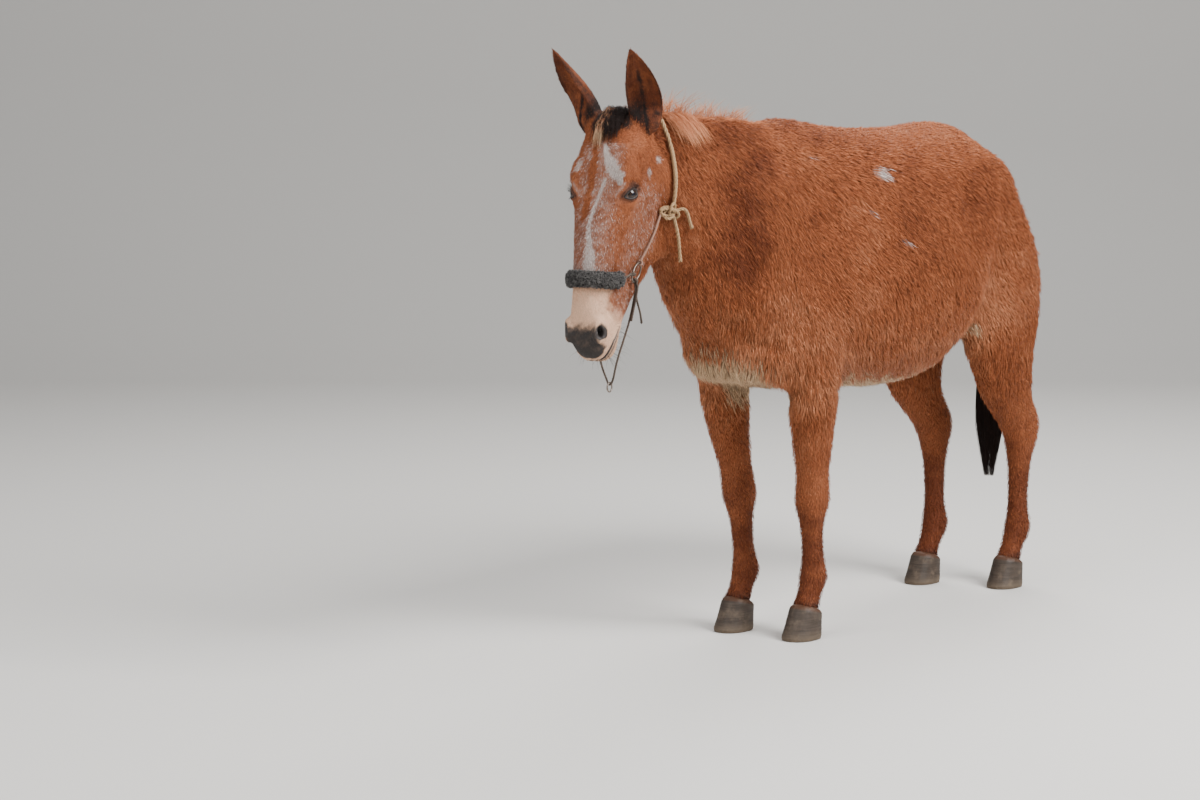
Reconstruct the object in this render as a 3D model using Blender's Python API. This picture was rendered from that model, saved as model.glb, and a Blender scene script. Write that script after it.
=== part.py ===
"""A life-size standing mule in a rope and fleece halter, as a still museum model.

Metres, +Z up. The mule faces -X and its left side is -Y. The flesh is built whole, from lofts and
ellipsoids that are melted together and sculpted, and is then parted by thin cuts into named pieces.
"""
import math
import random

import bmesh
import bpy
from mathutils import Matrix, Vector
from mathutils.bvhtree import BVHTree

# Driving sizes, in metres
GAP = 0.0003
TOUCH = 0.0004
SLIVER = 0.00001
VOXEL = 0.0065
SOFTENINGS = 180
FIRST_TRIANGLES = 13500
FLESH_TRIANGLES = 5000
HOOF_HEIGHT = 0.088
EYE_RADIUS = 0.0225
EAR_LENGTH = 0.28
EAR_WALL = 0.006
ROPE_RADIUS = 0.0055
ROPE_LIFT = 0.0053
CORD_RADIUS = 0.0040
LOOP_RADIUS = 0.0030
FLEECE_HEIGHT = 0.023
FLEECE_DEPTH = 0.013
RING_WIRE = 0.0026
RING_LENGTH = 0.029
RING_WIDTH = 0.021
CHIN_RING = 0.013

LEFT, RIGHT = -1, 1
SIDES = {"left": LEFT, "right": RIGHT}
UP = Vector((0, 0, 1))

# The head hangs from the poll, turned a little to the left.
POLL = Vector((-1.165, 0.0, 1.560))
HEAD_YAW = math.radians(12.0)
HEAD_PITCH = math.radians(74.0)
HEADING = Vector((-math.cos(HEAD_YAW), -math.sin(HEAD_YAW), 0.0))
DOWN_FACE = HEADING * math.cos(HEAD_PITCH) - UP * math.sin(HEAD_PITCH)
OUT_OF_FACE = HEADING * math.sin(HEAD_PITCH) + UP * math.cos(HEAD_PITCH)
TO_LEFT = OUT_OF_FACE.cross(DOWN_FACE)
HEAD_TURN = Matrix((DOWN_FACE, TO_LEFT, OUT_OF_FACE)).transposed()
HEAD_FRAME = Matrix.Translation(POLL) @ HEAD_TURN.to_4x4()


def at_head(down, left, out):
    """A point of the head: down the face from the poll, to the mule's left, and out of the face."""
    return HEAD_FRAME @ Vector((down, left, out))


# Scene and materials


def clear_scene():
    for obj in list(bpy.data.objects):
        bpy.data.objects.remove(obj)


def material(name, colour, roughness, metallic=0.0):
    made = bpy.data.materials.new(name)
    made.use_nodes = True
    shader = made.node_tree.nodes["Principled BSDF"]
    shader.inputs["Base Color"].default_value = (*colour, 1.0)
    shader.inputs["Roughness"].default_value = roughness
    shader.inputs["Metallic"].default_value = metallic
    made.diffuse_color = (*colour, 1.0)
    return made


def paint(objects, look):
    for obj in objects:
        obj.data.materials.clear()
        obj.data.materials.append(look)


# Curves


def catmull(before, start, end, after, t):
    """A value between start and end on a smooth curve through four even points."""
    return 0.5 * (
        2 * start
        + (end - before) * t
        + (2 * before - 5 * start + 4 * end - after) * t * t
        + (3 * start - before - 3 * end + after) * t**3
    )


def smooth_rows(rows, steps):
    """The rows of numbers with steps - 1 smooth ones added between each two."""
    made = []
    for i in range(len(rows) - 1):
        around = (rows[max(i - 1, 0)], rows[i], rows[i + 1], rows[min(i + 2, len(rows) - 1)])
        for k in range(steps):
            made.append([catmull(*values, k / steps) for values in zip(*around)])
    made.append(list(rows[-1]))
    return made


def smooth_path(points, steps):
    return [Vector(row) for row in smooth_rows([tuple(p) for p in points], steps)]


def between(table, at):
    """Reads a table of (place, value) rows at a place, eased between the rows."""
    if at <= table[0][0]:
        return table[0][1]
    for (x0, y0), (x1, y1) in zip(table, table[1:]):
        if at <= x1:
            t = (at - x0) / (x1 - x0)
            return y0 + (y1 - y0) * t * t * (3 - 2 * t)
    return table[-1][1]


# Closed meshes


def section(top, bottom, half_width, across, widest=0.5, power_top=2.0, power_bottom=2.0, count=24):
    """Points round one cross-section, which reaches from top to bottom and half_width to each side."""
    centre = bottom.lerp(top, widest)
    points = []
    for i in range(count):
        angle = 2 * math.pi * i / count
        c, s = math.cos(angle), math.sin(angle)
        power = power_top if s >= 0 else power_bottom
        reach = (top - centre) if s >= 0 else (centre - bottom)
        side = math.copysign(abs(c) ** (2 / power), c) * half_width
        rise = math.copysign(abs(s) ** (2 / power), s)
        points.append(centre + across * side + reach * rise)
    return points


def skin_rings(rings):
    """One closed mesh through the rings of points, with one face over each end."""
    bm = bmesh.new()
    loops = [[bm.verts.new(p) for p in ring] for ring in rings]
    for first, second in zip(loops, loops[1:]):
        for i in range(len(first)):
            j = (i + 1) % len(first)
            bm.faces.new((first[i], first[j], second[j], second[i]))
    bm.faces.new(list(reversed(loops[0])))
    bm.faces.new(loops[-1])
    bmesh.ops.recalc_face_normals(bm, faces=bm.faces)
    return bm


def ellipsoid(centre, radii, turn=None, segments=20):
    bm = bmesh.new()
    bmesh.ops.create_uvsphere(bm, u_segments=segments, v_segments=segments * 2 // 3, radius=1.0)
    turned = (turn or Matrix.Identity(3)).to_4x4()
    place = Matrix.Translation(centre) @ turned @ Matrix.Diagonal((*radii, 1.0))
    bmesh.ops.transform(bm, matrix=place, verts=bm.verts)
    return bm


def tube(path, radius, normals=None, depth=None, sides=8, taper=None):
    """A rod along the path. With normals, one for each point, depth is its radius that way."""
    rings = []
    guide = UP if abs((path[1] - path[0]).normalized().z) < 0.9 else Vector((1, 0, 0))
    for i, point in enumerate(path):
        along = (path[min(i + 1, len(path) - 1)] - path[max(i - 1, 0)]).normalized()
        guide = normals[i] if normals else guide
        thin = (guide - along * guide.dot(along)).normalized()
        wide = along.cross(thin)
        guide = thin
        size = taper(i / (len(path) - 1)) if taper else 1.0
        ring = []
        for k in range(sides):
            angle = 2 * math.pi * (k + 0.5) / sides
            side = wide * math.cos(angle) * radius * size
            ring.append(point + side + thin * math.sin(angle) * (depth or radius) * size)
        rings.append(ring)
    return skin_rings(rings)


def torus(centre, turn, radius_x, radius_y, thickness, segments=20, sides=8):
    """An oval ring round the turned Z axis."""
    bm = bmesh.new()
    loops = []
    for i in range(segments):
        a = 2 * math.pi * i / segments
        outward = Vector((math.cos(a) * radius_y, math.sin(a) * radius_x, 0)).normalized()
        middle = Vector((math.cos(a) * radius_x, math.sin(a) * radius_y, 0))
        loop = []
        for k in range(sides):
            b = 2 * math.pi * k / sides
            point = middle + outward * math.cos(b) * thickness + UP * math.sin(b) * thickness
            loop.append(bm.verts.new(Vector(centre) + turn @ point))
        loops.append(loop)
    for i in range(segments):
        first, second = loops[i], loops[(i + 1) % segments]
        for k in range(sides):
            j = (k + 1) % sides
            bm.faces.new((first[k], first[j], second[j], second[k]))
    bmesh.ops.recalc_face_normals(bm, faces=bm.faces)
    return bm


# Objects


def object_from(bm, name):
    mesh = bpy.data.meshes.new(name)
    bm.to_mesh(mesh)
    bm.free()
    obj = bpy.data.objects.new(name, mesh)
    bpy.context.scene.collection.objects.link(obj)
    return obj


def joined(meshes, name):
    """Several closed meshes as one object, overlapping and not yet fused."""
    whole = bmesh.new()
    for bm in meshes:
        scrap = bpy.data.meshes.new("scrap")
        bm.to_mesh(scrap)
        bm.free()
        whole.from_mesh(scrap)
        bpy.data.meshes.remove(scrap)
    return object_from(whole, name)


def copied(obj, name):
    twin = bpy.data.objects.new(name, obj.data.copy())
    bpy.context.scene.collection.objects.link(twin)
    return twin


def bake_modifiers(obj):
    graph = bpy.context.evaluated_depsgraph_get()
    mesh = bpy.data.meshes.new_from_object(obj.evaluated_get(graph))
    old = obj.data
    obj.modifiers.clear()
    obj.data = mesh
    bpy.data.meshes.remove(old)
    return obj


def melted(meshes, name, voxel):
    """The meshes melted into one even skin."""
    obj = joined(meshes, name)
    remesh = obj.modifiers.new("melt", "REMESH")
    remesh.mode = "VOXEL"
    remesh.voxel_size = voxel
    return bake_modifiers(obj)


def softened(obj, times, weight):
    """Smooths the skin, by weight(point) of the full amount at each place."""
    group = obj.vertex_groups.new(name="flesh")
    for vertex in obj.data.vertices:
        group.add([vertex.index], weight(vertex.co), "REPLACE")
    smooth = obj.modifiers.new("soften", "SMOOTH")
    smooth.factor = 0.5
    smooth.iterations = times
    smooth.vertex_group = group.name
    return bake_modifiers(obj)


def thinned(obj, triangles, weight=None):
    """Fewer triangles, kept dense where weight(point) is small."""
    obj.data.calc_loop_triangles()
    modifier = obj.modifiers.new("thin", "DECIMATE")
    modifier.ratio = min(1.0, triangles / len(obj.data.loop_triangles))
    if weight:
        group = obj.vertex_groups.get("thin") or obj.vertex_groups.new(name="thin")
        for vertex in obj.data.vertices:
            group.add([vertex.index], weight(vertex.co), "REPLACE")
        modifier.vertex_group = group.name
    bake_modifiers(obj)
    obj.vertex_groups.clear()
    return obj


def islands(bm):
    """The mesh's separate pieces as sets of vertices, the largest last."""
    unseen = set(bm.verts)
    pieces = []
    while unseen:
        front = [unseen.pop()]
        piece = set(front)
        while front:
            for edge in front.pop().link_edges:
                for vertex in edge.verts:
                    if vertex in unseen:
                        unseen.discard(vertex)
                        piece.add(vertex)
                        front.append(vertex)
        pieces.append(piece)
    return sorted(pieces, key=len)


def one_piece(obj, near=None):
    """Keeps the piece with the most vertices, or the one that comes nearest to a point."""
    bm = bmesh.new()
    bm.from_mesh(obj.data)
    pieces = islands(bm)
    if near is not None:
        pieces.sort(key=lambda piece: -min((v.co - near).length for v in piece))
    for piece in pieces[:-1]:
        bmesh.ops.delete(bm, geom=list(piece), context="VERTS")
    bmesh.ops.triangulate(bm, faces=bm.faces[:])
    bmesh.ops.dissolve_degenerate(bm, edges=bm.edges[:], dist=SLIVER)
    bm.to_mesh(obj.data)
    bm.free()
    return obj


def sliced(obj, point, normal, name, within=None):
    """A copy without what lies past the plane, its cut closed. Only faces within are cut."""
    bm = bmesh.new()
    bm.from_mesh(obj.data)
    faces = [f for f in bm.faces if within is None or within(f.calc_center_median())]
    edges = {e for f in faces for e in f.edges}
    verts = {v for f in faces for v in f.verts}
    geom = list(verts) + list(edges) + faces
    cut = bmesh.ops.bisect_plane(bm, geom=geom, plane_co=point, plane_no=normal, clear_outer=True)
    rim = [e for e in cut["geom_cut"] if isinstance(e, bmesh.types.BMEdge)]
    bmesh.ops.holes_fill(bm, edges=rim, sides=0)
    bmesh.ops.triangulate(bm, faces=bm.faces)
    bmesh.ops.recalc_face_normals(bm, faces=bm.faces)
    return object_from(bm, name)


def boolean(obj, other, operation, solver="EXACT"):
    """Joins another object to this one or cuts it out, and removes the other."""
    modifier = obj.modifiers.new("boolean", "BOOLEAN")
    modifier.operation = operation
    modifier.object = other
    modifier.solver = solver
    bake_modifiers(obj)
    bpy.data.objects.remove(other)
    return one_piece(obj)


def swollen(obj, by, name):
    """A copy with its surface moved outward."""
    twin = copied(obj, name)
    normals = [v.normal.copy() for v in twin.data.vertices]
    for vertex, normal in zip(twin.data.vertices, normals):
        vertex.co += normal * by
    return twin


def clear_of(obj, shell):
    """Cuts a piece back from the swollen flesh, which leaves it lying against it."""
    return boolean(obj, copied(shell, "shell_cutter"), "DIFFERENCE")


# Sculpting on the whole skin. Each works on arrays of points and normals.


# The trunk and neck

# x, top, bottom, half width, height of the widest line as a share, roundness of top and bottom
TRUNK = (
    (-0.775, 1.18, 0.98, 0.050, 0.5, 2.0, 2.0),
    (-0.715, 1.32, 0.86, 0.130, 0.5, 2.0, 2.0),
    (-0.625, 1.46, 0.785, 0.190, 0.5, 1.7, 2.2),
    (-0.50, 1.550, 0.752, 0.225, 0.42, 1.40, 2.3),
    (-0.38, 1.560, 0.742, 0.252, 0.42, 1.40, 2.3),
    (-0.24, 1.535, 0.735, 0.283, 0.43, 1.60, 2.2),
    (-0.08, 1.520, 0.720, 0.316, 0.44, 1.85, 2.1),
    (0.08, 1.516, 0.716, 0.330, 0.45, 1.95, 2.1),
    (0.22, 1.522, 0.742, 0.316, 0.48, 1.92, 2.1),
    (0.34, 1.536, 0.800, 0.278, 0.52, 1.82, 2.1),
    (0.46, 1.528, 0.88, 0.240, 0.55, 1.68, 2.0),
    (0.58, 1.478, 0.93, 0.198, 0.55, 1.62, 2.0),
    (0.68, 1.395, 0.98, 0.138, 0.55, 1.7, 2.0),
    (0.75, 1.310, 1.05, 0.075, 0.5, 2.0, 2.0),
)

# top x, top z, bottom x, bottom z, half width, widest share, roundness of top and bottom
NECK = (
    (-1.180, 1.520, -1.03, 1.31, 0.060, 0.5, 1.8, 2.0),
    (-1.10, 1.552, -0.99, 1.250, 0.072, 0.5, 1.7, 2.0),
    (-1.00, 1.572, -0.955, 1.18, 0.087, 0.48, 1.6, 2.0),
    (-0.88, 1.575, -0.915, 1.10, 0.108, 0.45, 1.5, 2.0),
    (-0.74, 1.565, -0.865, 1.01, 0.136, 0.42, 1.5, 2.0),
    (-0.60, 1.555, -0.79, 0.93, 0.176, 0.42, 1.5, 2.1),
    (-0.48, 1.540, -0.68, 0.88, 0.208, 0.42, 1.5, 2.1),
)


def trunk_forms():
    across = Vector((0, 1, 0))
    rings = []
    for x, top, bottom, half, widest, sharp, flat in smooth_rows(TRUNK, 3):
        rings.append(section(Vector((x, 0, top)), Vector((x, 0, bottom)), half, across, widest, sharp, flat, 36))
    forms = [skin_rings(rings)]
    rings = []
    for tx, tz, bx, bz, half, widest, sharp, flat in smooth_rows(NECK, 3):
        rings.append(section(Vector((tx, 0, tz)), Vector((bx, 0, bz)), half, across, widest, sharp, flat, 32))
    forms.append(skin_rings(rings))
    for side in SIDES.values():
        shoulder_lean = Matrix.Rotation(math.radians(-27), 3, "Y")
        forms += [
            ellipsoid((-0.53, side * 0.085, 1.15), (0.20, 0.108, 0.31), shoulder_lean),
            ellipsoid((-0.50, side * 0.130, 1.03), (0.17, 0.110, 0.17)),
            ellipsoid((-0.640, side * 0.100, 1.04), (0.115, 0.108, 0.150)),
            ellipsoid((-0.650, side * 0.055, 0.925), (0.096, 0.100, 0.150)),
            ellipsoid((-0.560, side * 0.120, 0.900), (0.100, 0.095, 0.140)),
            ellipsoid((0.46, side * 0.105, 1.28), (0.23, 0.118, 0.175)),
            ellipsoid((0.37, side * 0.145, 1.340), (0.140, 0.082, 0.120)),
        ]
    return forms


# The legs. Each row is height, front x, back x, half width and distance of the middle from the centre plane.
FORELEG = (
    (1.02, -0.600, -0.370, 0.070, 0.175),
    (0.90, -0.560, -0.345, 0.078, 0.175),
    (0.80, -0.545, -0.352, 0.074, 0.172),
    (0.70, -0.524, -0.355, 0.067, 0.163),
    (0.60, -0.498, -0.356, 0.060, 0.152),
    (0.51, -0.470, -0.356, 0.050, 0.140),
    (0.455, -0.463, -0.346, 0.051, 0.134),
    (0.41, -0.464, -0.338, 0.052, 0.131),
    (0.37, -0.452, -0.348, 0.044, 0.129),
    (0.33, -0.440, -0.354, 0.036, 0.127),
    (0.26, -0.433, -0.348, 0.033, 0.125),
    (0.215, -0.431, -0.340, 0.037, 0.123),
    (0.185, -0.434, -0.328, 0.044, 0.122),
    (0.155, -0.437, -0.338, 0.041, 0.122),
    (0.125, -0.450, -0.362, 0.038, 0.122),
    (0.095, -0.472, -0.376, 0.045, 0.122),
    (0.030, -0.490, -0.385, 0.045, 0.122),
)
HINDLEG = (
    (1.30, 0.380, 0.655, 0.092, 0.125),
    (1.16, 0.355, 0.745, 0.102, 0.138),
    (1.04, 0.340, 0.775, 0.106, 0.146),
    (0.94, 0.345, 0.765, 0.102, 0.155),
    (0.84, 0.380, 0.745, 0.086, 0.158),
    (0.74, 0.430, 0.725, 0.074, 0.155),
    (0.64, 0.495, 0.740, 0.062, 0.148),
    (0.565, 0.570, 0.787, 0.053, 0.143),
    (0.51, 0.620, 0.790, 0.052, 0.139),
    (0.45, 0.645, 0.757, 0.046, 0.136),
    (0.38, 0.655, 0.743, 0.038, 0.134),
    (0.28, 0.655, 0.738, 0.035, 0.132),
    (0.225, 0.652, 0.745, 0.040, 0.131),
    (0.19, 0.645, 0.757, 0.045, 0.130),
    (0.155, 0.635, 0.737, 0.042, 0.130),
    (0.125, 0.620, 0.706, 0.038, 0.130),
    (0.095, 0.598, 0.690, 0.045, 0.130),
    (0.030, 0.580, 0.687, 0.045, 0.130),
)
# How far each leg is set back from its rows, by height
SWING = {
    "fore_left": ((0.50, 0.0), (0.90, 0.0)),
    "fore_right": ((0.30, -0.020), (0.55, -0.020), (0.85, 0.0)),
    "hind_left": ((0.45, 0.030), (0.65, 0.012), (0.95, 0.0)),
    "hind_right": ((0.45, -0.072), (0.65, -0.080), (0.80, -0.045), (1.05, 0.0)),
}
# height, front x, back x and half width of a fore hoof, and how far back a hind one stands
HOOF = (
    (0.110, -0.4670, -0.3770, 0.0440),
    (0.085, -0.4790, -0.3765, 0.0465),
    (0.040, -0.4985, -0.3800, 0.0500),
    (0.008, -0.5130, -0.3840, 0.0545),
    (0.000, -0.5120, -0.3860, 0.0530),
)
HIND_HOOF_SHIFT = 1.066
CORONET_SLOPE = math.radians(13)


def leg_form(rows, side, swing):
    across = Vector((0, 1, 0))
    rings = []
    for z, front, back, half, out in smooth_rows(rows, 2):
        shift = between(swing, z)
        ahead = Vector((front + shift, side * out, z))
        behind = Vector((back + shift, side * out, z))
        rings.append(section(ahead, behind, half, across, 0.55, 2.1, 2.1, 20))
    return skin_rings(rings)


def leg_forms():
    forms = []
    for name, side in SIDES.items():
        forms.append(leg_form(FORELEG, side, SWING["fore_" + name]))
        forms.append(leg_form(HINDLEG, side, SWING["hind_" + name]))
    return forms


def foot_middle(leg):
    """The middle of a leg's coronet."""
    which, name = leg.split("_")
    x = -0.428 if which == "fore" else -0.428 + HIND_HOOF_SHIFT
    y = SIDES[name] * (0.122 if which == "fore" else 0.130)
    return Vector((x + SWING[leg][0][1], y, HOOF_HEIGHT))


def hoof(leg):
    middle = foot_middle(leg)
    shift = middle.x + 0.428
    across = Vector((0, 1, 0))
    rings = []
    for z, front, back, half in HOOF:
        ahead = Vector((front + shift, middle.y, z))
        behind = Vector((back + shift, middle.y, z))
        rings.append(section(ahead, behind, half, across, 0.42, 2.2, 2.6, 18))
    whole = object_from(skin_rings(rings), "whole_hoof")
    slope = Vector((math.sin(CORONET_SLOPE), 0, math.cos(CORONET_SLOPE)))
    made = sliced(whole, middle - slope * GAP / 2, slope, "hoof_" + leg)
    bpy.data.objects.remove(whole)
    return made


# The head: distance down the face, front line, jaw line, half width, widest share, roundness of both
HEAD = (
    (-0.030, -0.055, -0.190, 0.055, 0.60, 2.0, 2.0),
    (0.010, -0.018, -0.225, 0.078, 0.68, 2.3, 2.0),
    (0.065, -0.004, -0.262, 0.096, 0.74, 2.6, 1.9),
    (0.135, 0.002, -0.298, 0.101, 0.78, 2.9, 1.9),
    (0.205, 0.000, -0.325, 0.100, 0.76, 3.0, 1.9),
    (0.270, 0.006, -0.335, 0.089, 0.74, 2.8, 1.9),
    (0.330, 0.014, -0.325, 0.078, 0.72, 2.6, 1.9),
    (0.385, 0.015, -0.306, 0.070, 0.70, 2.5, 1.8),
    (0.440, 0.012, -0.256, 0.063, 0.66, 2.4, 1.9),
    (0.500, 0.005, -0.212, 0.060, 0.60, 2.3, 2.0),
    (0.560, -0.006, -0.177, 0.061, 0.57, 2.2, 2.0),
    (0.610, -0.028, -0.168, 0.059, 0.54, 2.2, 2.1),
    (0.645, -0.050, -0.160, 0.048, 0.52, 2.1, 2.1),
    (0.665, -0.075, -0.140, 0.028, 0.50, 2.0, 2.0),
)
EYE = (0.213, 0.0785, -0.035)
NOSTRIL = (0.597, 0.050, -0.030)
MOUTH_CORNER = (0.556, 0.060, -0.132)
MOUTH_GAP = 0.0050


def head_forms():
    rings = []
    for u, front, jaw, half, widest, flat, keel in smooth_rows(HEAD, 3):
        across = Vector((0, 1, 0))
        rings.append(section(Vector((u, 0, front)), Vector((u, 0, jaw)), half, across, widest, flat, keel, 32))
    forms = [skin_rings(rings)]
    for y in (-1, 1):
        forms += [
            ellipsoid((EYE[0], y * 0.0655, EYE[2] - 0.006), (0.048, 0.036, 0.038)),
            ellipsoid((0.160, y * 0.073, -0.034), (0.062, 0.036, 0.037)),
            ellipsoid((0.235, y * 0.055, -0.205), (0.135, 0.040, 0.130)),
            ellipsoid((0.345, y * 0.055, -0.100), (0.110, 0.018, 0.018)),
            ellipsoid((0.590, y * 0.041, -0.045), (0.046, 0.025, 0.034)),
            ellipsoid((0.030, y * 0.066, -0.080), (0.060, 0.032, 0.050)),
        ]
    forms += [
        ellipsoid((0.000, 0, -0.034), (0.060, 0.055, 0.042)),
        ellipsoid((0.622, 0, -0.080), (0.046, 0.050, 0.046)),
        ellipsoid((0.618, 0, -0.142), (0.042, 0.038, 0.034)),
    ]
    for bm in forms:
        bmesh.ops.transform(bm, matrix=HEAD_FRAME, verts=bm.verts)
    return forms


def flesh():
    """The whole animal's flesh as one skin."""
    body = melted(trunk_forms() + leg_forms() + head_forms(), "flesh", VOXEL)

    def weight(point):
        head = min(max((-0.90 - point.x) / 0.10, 0.0), 1.0)
        leg = min(max((0.80 - point.z) / 0.22, 0.0), 1.0)
        return 1.0 - 0.90 * max(head, leg)

    softened(body, SOFTENINGS, weight)
    one_piece(body)
    return body


def flesh_coarseness(point):
    """Which places of the flesh are thinned further: all but the head."""
    return 0.0 if point.x < -0.90 and point.z > 0.8 and point.z < 1.53 + (-1.0 - point.x) else 1.0


# Cuts between the pieces of flesh: a point and the way towards the outer piece
HEAD_CUT = (
    (-1.085, 1.760),
    (-1.070, 1.560),
    (-0.985, 1.420),
    (-0.895, 1.280),
    (-0.872, 1.180),
    (-0.915, 1.090),
    (-1.020, 1.020),
    (-1.250, 0.700),
    (-1.800, 0.700),
    (-1.800, 1.760),
)
NECK_CUT = (Vector((-0.50, 0, 1.57)), Vector((-0.911, 0, 0.412)).normalized())
FORE_CUT = (Vector((0, 0, 0.70)), Vector((0, 0, -1)))
HIND_CUT = (Vector((0.36, 0, 0.795)), Vector((0.40, 0, -1)).normalized())


def prism(outline, grow, name):
    """A block across the whole animal with the outline of x and z points, grown by a little."""
    middle = Vector((-1.3, 1.3))
    points = [Vector(p) for p in outline]
    moved = []
    for i, point in enumerate(points):
        before, after = points[i - 1], points[(i + 1) % len(points)]
        one = Vector((point.y - before.y, before.x - point.x)).normalized()
        two = Vector((after.y - point.y, point.x - after.x)).normalized()
        outward = (one + two).normalized()
        if outward.dot(point - middle) < 0:
            outward = -outward
        moved.append(point + outward * grow / max(outward.dot(one), outward.dot(-one)))
    rings = [[Vector((p.x, y, p.y)) for p in moved] for y in (-0.6, 0.6)]
    return object_from(skin_rings(rings), name)


def parted(body):
    """Cuts the flesh into head, neck, torso and legs, and returns them by name."""
    pieces = {}

    def outer(cut, name, near=None):
        point, normal = cut
        piece = sliced(body, point + normal * GAP / 2, -normal, name)
        return one_piece(piece, near)

    pieces["head"] = boolean(copied(body, "head"), prism(HEAD_CUT, 0.0, "head_block"), "INTERSECT")
    pieces["neck"] = boolean(outer(NECK_CUT, "neck"), prism(HEAD_CUT, GAP, "head_block"), "DIFFERENCE")
    for name, side in SIDES.items():
        pieces["foreleg_" + name] = outer(FORE_CUT, "foreleg_" + name, Vector((-0.42, side * 0.13, 0.3)))
        pieces["hindleg_" + name] = outer(HIND_CUT, "hindleg_" + name, Vector((0.70, side * 0.14, 0.3)))
    torso = copied(body, "torso_rough")
    cuts = (
        (NECK_CUT, lambda c: c.z > 0.75),
        (FORE_CUT, lambda c: c.x < 0.0),
        (HIND_CUT, lambda c: c.x > 0.0),
    )
    for (point, normal), within in cuts:
        rest = sliced(torso, point - normal * GAP / 2, normal, "torso", within)
        bpy.data.objects.remove(torso)
        torso = rest
    torso.name = "torso"
    pieces["torso"] = one_piece(torso)
    slope = Vector((-math.sin(CORONET_SLOPE), 0, -math.cos(CORONET_SLOPE)))
    for leg in SWING:
        which, name = leg.split("_")
        key = which + "leg_" + name
        whole = pieces[key]
        whole.name = "whole_leg"
        pieces[key] = one_piece(sliced(whole, foot_middle(leg) + slope * -GAP / 2, slope, key))
        bpy.data.objects.remove(whole)
    return pieces


# Details cut into the head

# upper lid, lower lid and inner corner are given by angles round the eyeball
EYE_AXIS = Vector((0.53, 0.0, 0.85)).normalized()
EYE_OUTWARD = Vector((0.06, 0.93, 0.36)).normalized()
LID_SPAN = math.radians(58)
UPPER_LID = math.radians(30)
LOWER_LID = math.radians(25)
LID_RADIUS = EYE_RADIUS + 0.0035


def eye_direction(side, along, above):
    """A direction from the middle of the eyeball, by angles towards its inner corner and its brow."""
    outward = EYE_OUTWARD
    axis = (EYE_AXIS - outward * EYE_AXIS.dot(outward)).normalized()
    brow = outward.cross(axis)
    if brow.x > 0:
        brow = -brow
    level = outward * math.cos(along) + axis * math.sin(along)
    way = level * math.cos(above) + brow * math.sin(above)
    return (HEAD_TURN @ Vector((way.x, way.y * -side, way.z))).normalized()


def eye_centre(side):
    return at_head(EYE[0], -side * EYE[1], EYE[2])


def lid(side, height, radius, thick):
    """A fold of skin along one edge of the eye."""
    path = []
    steps = 7
    for i in range(steps + 1):
        along = LID_SPAN * (2 * i / steps - 1) * 1.08
        above = height * math.cos(math.pi / 2 * min(abs(along) / LID_SPAN, 1.0))
        path.append(eye_centre(side) + eye_direction(side, along, above) * radius)
    return tube(path, thick, sides=5, taper=lambda t: 0.45 + 0.55 * math.sin(math.pi * t))


def eye_opening(side):
    """A cone from inside the eyeball out through the slit between the lids."""
    rim = []
    for sign in (1, -1):
        for i in range(9):
            share = i / 9
            along = LID_SPAN * (1 - 2 * share) * sign
            open_angle = UPPER_LID if sign > 0 else -LOWER_LID
            above = (open_angle * 0.80) * math.cos(math.pi / 2 * along / LID_SPAN)
            rim.append(eye_direction(side, along * 0.96, above))
    centre = eye_centre(side)
    rings = [[centre + way * reach for way in rim] for reach in (EYE_RADIUS * 0.5, EYE_RADIUS * 2.2)]
    return skin_rings(rings)


def nostril(side):
    """The hollow of one nostril, a slanting comma that runs up into the nose."""
    rows = ((-0.030, 0.0200, 0.0090), (0.004, 0.0185, 0.0085), (0.024, 0.0120, 0.0065), (0.036, 0.0060, 0.0040))
    inward = Vector((-0.35, -0.66, -0.66)).normalized()
    along = Vector((0.90, 0.10, -0.42)).normalized()
    along = (along - inward * along.dot(inward)).normalized()
    across = inward.cross(along)
    rings = []
    for depth, long, short in rows:
        centre = Vector(NOSTRIL) + inward * depth
        ring = []
        for i in range(12):
            angle = 2 * math.pi * i / 12
            bend = across * (math.cos(angle) ** 2) * 0.005
            point = centre + along * math.cos(angle) * long + across * math.sin(angle) * short + bend
            ring.append(at_head(point.x, point.y * -side, point.z))
        rings.append(ring)
    return skin_rings(rings)


def mouth_line():
    """A thin bent plate that cuts the line between the lips round the front of the muzzle."""
    outer, inner = [], []
    steps = 10
    for i in range(steps + 1):
        angle = math.pi * (i / steps - 0.5)
        u = MOUTH_CORNER[0] + math.cos(angle) * 0.125
        w = MOUTH_CORNER[2] + math.cos(angle) * 0.014
        outer.append(Vector((u, math.sin(angle) * 0.085, w)))
        inner.append(Vector((MOUTH_CORNER[0] - 0.004 + math.cos(angle) * 0.090, math.sin(angle) * 0.040, w)))
    wide = Vector((0, 0, MOUTH_GAP))
    thin = wide * 0.15
    rings = []
    for a, b in zip(outer, inner):
        rings.append([at_head(*p) for p in (a + wide, a - wide, b - thin, b + thin)])
    return skin_rings(rings)


def detail_head(head):
    """Lids, eye sockets, nostrils and the line of the mouth."""
    for side in SIDES.values():
        for height, thick in ((UPPER_LID, 0.0062), (-LOWER_LID, 0.0050)):
            boolean(head, object_from(lid(side, height, LID_RADIUS, thick), "lid"), "UNION")
        socket = ellipsoid(eye_centre(side), (EYE_RADIUS + TOUCH,) * 3, segments=12)
        boolean(head, object_from(socket, "socket"), "DIFFERENCE", "MANIFOLD")
        boolean(head, object_from(eye_opening(side), "slit"), "DIFFERENCE", "MANIFOLD")
        boolean(head, object_from(nostril(side), "nostril"), "DIFFERENCE")
    boolean(head, object_from(mouth_line(), "mouth"), "DIFFERENCE")
    return head


def eyeball(name, side):
    return object_from(ellipsoid(eye_centre(side), (EYE_RADIUS,) * 3, segments=12), name)


# Ears

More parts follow.
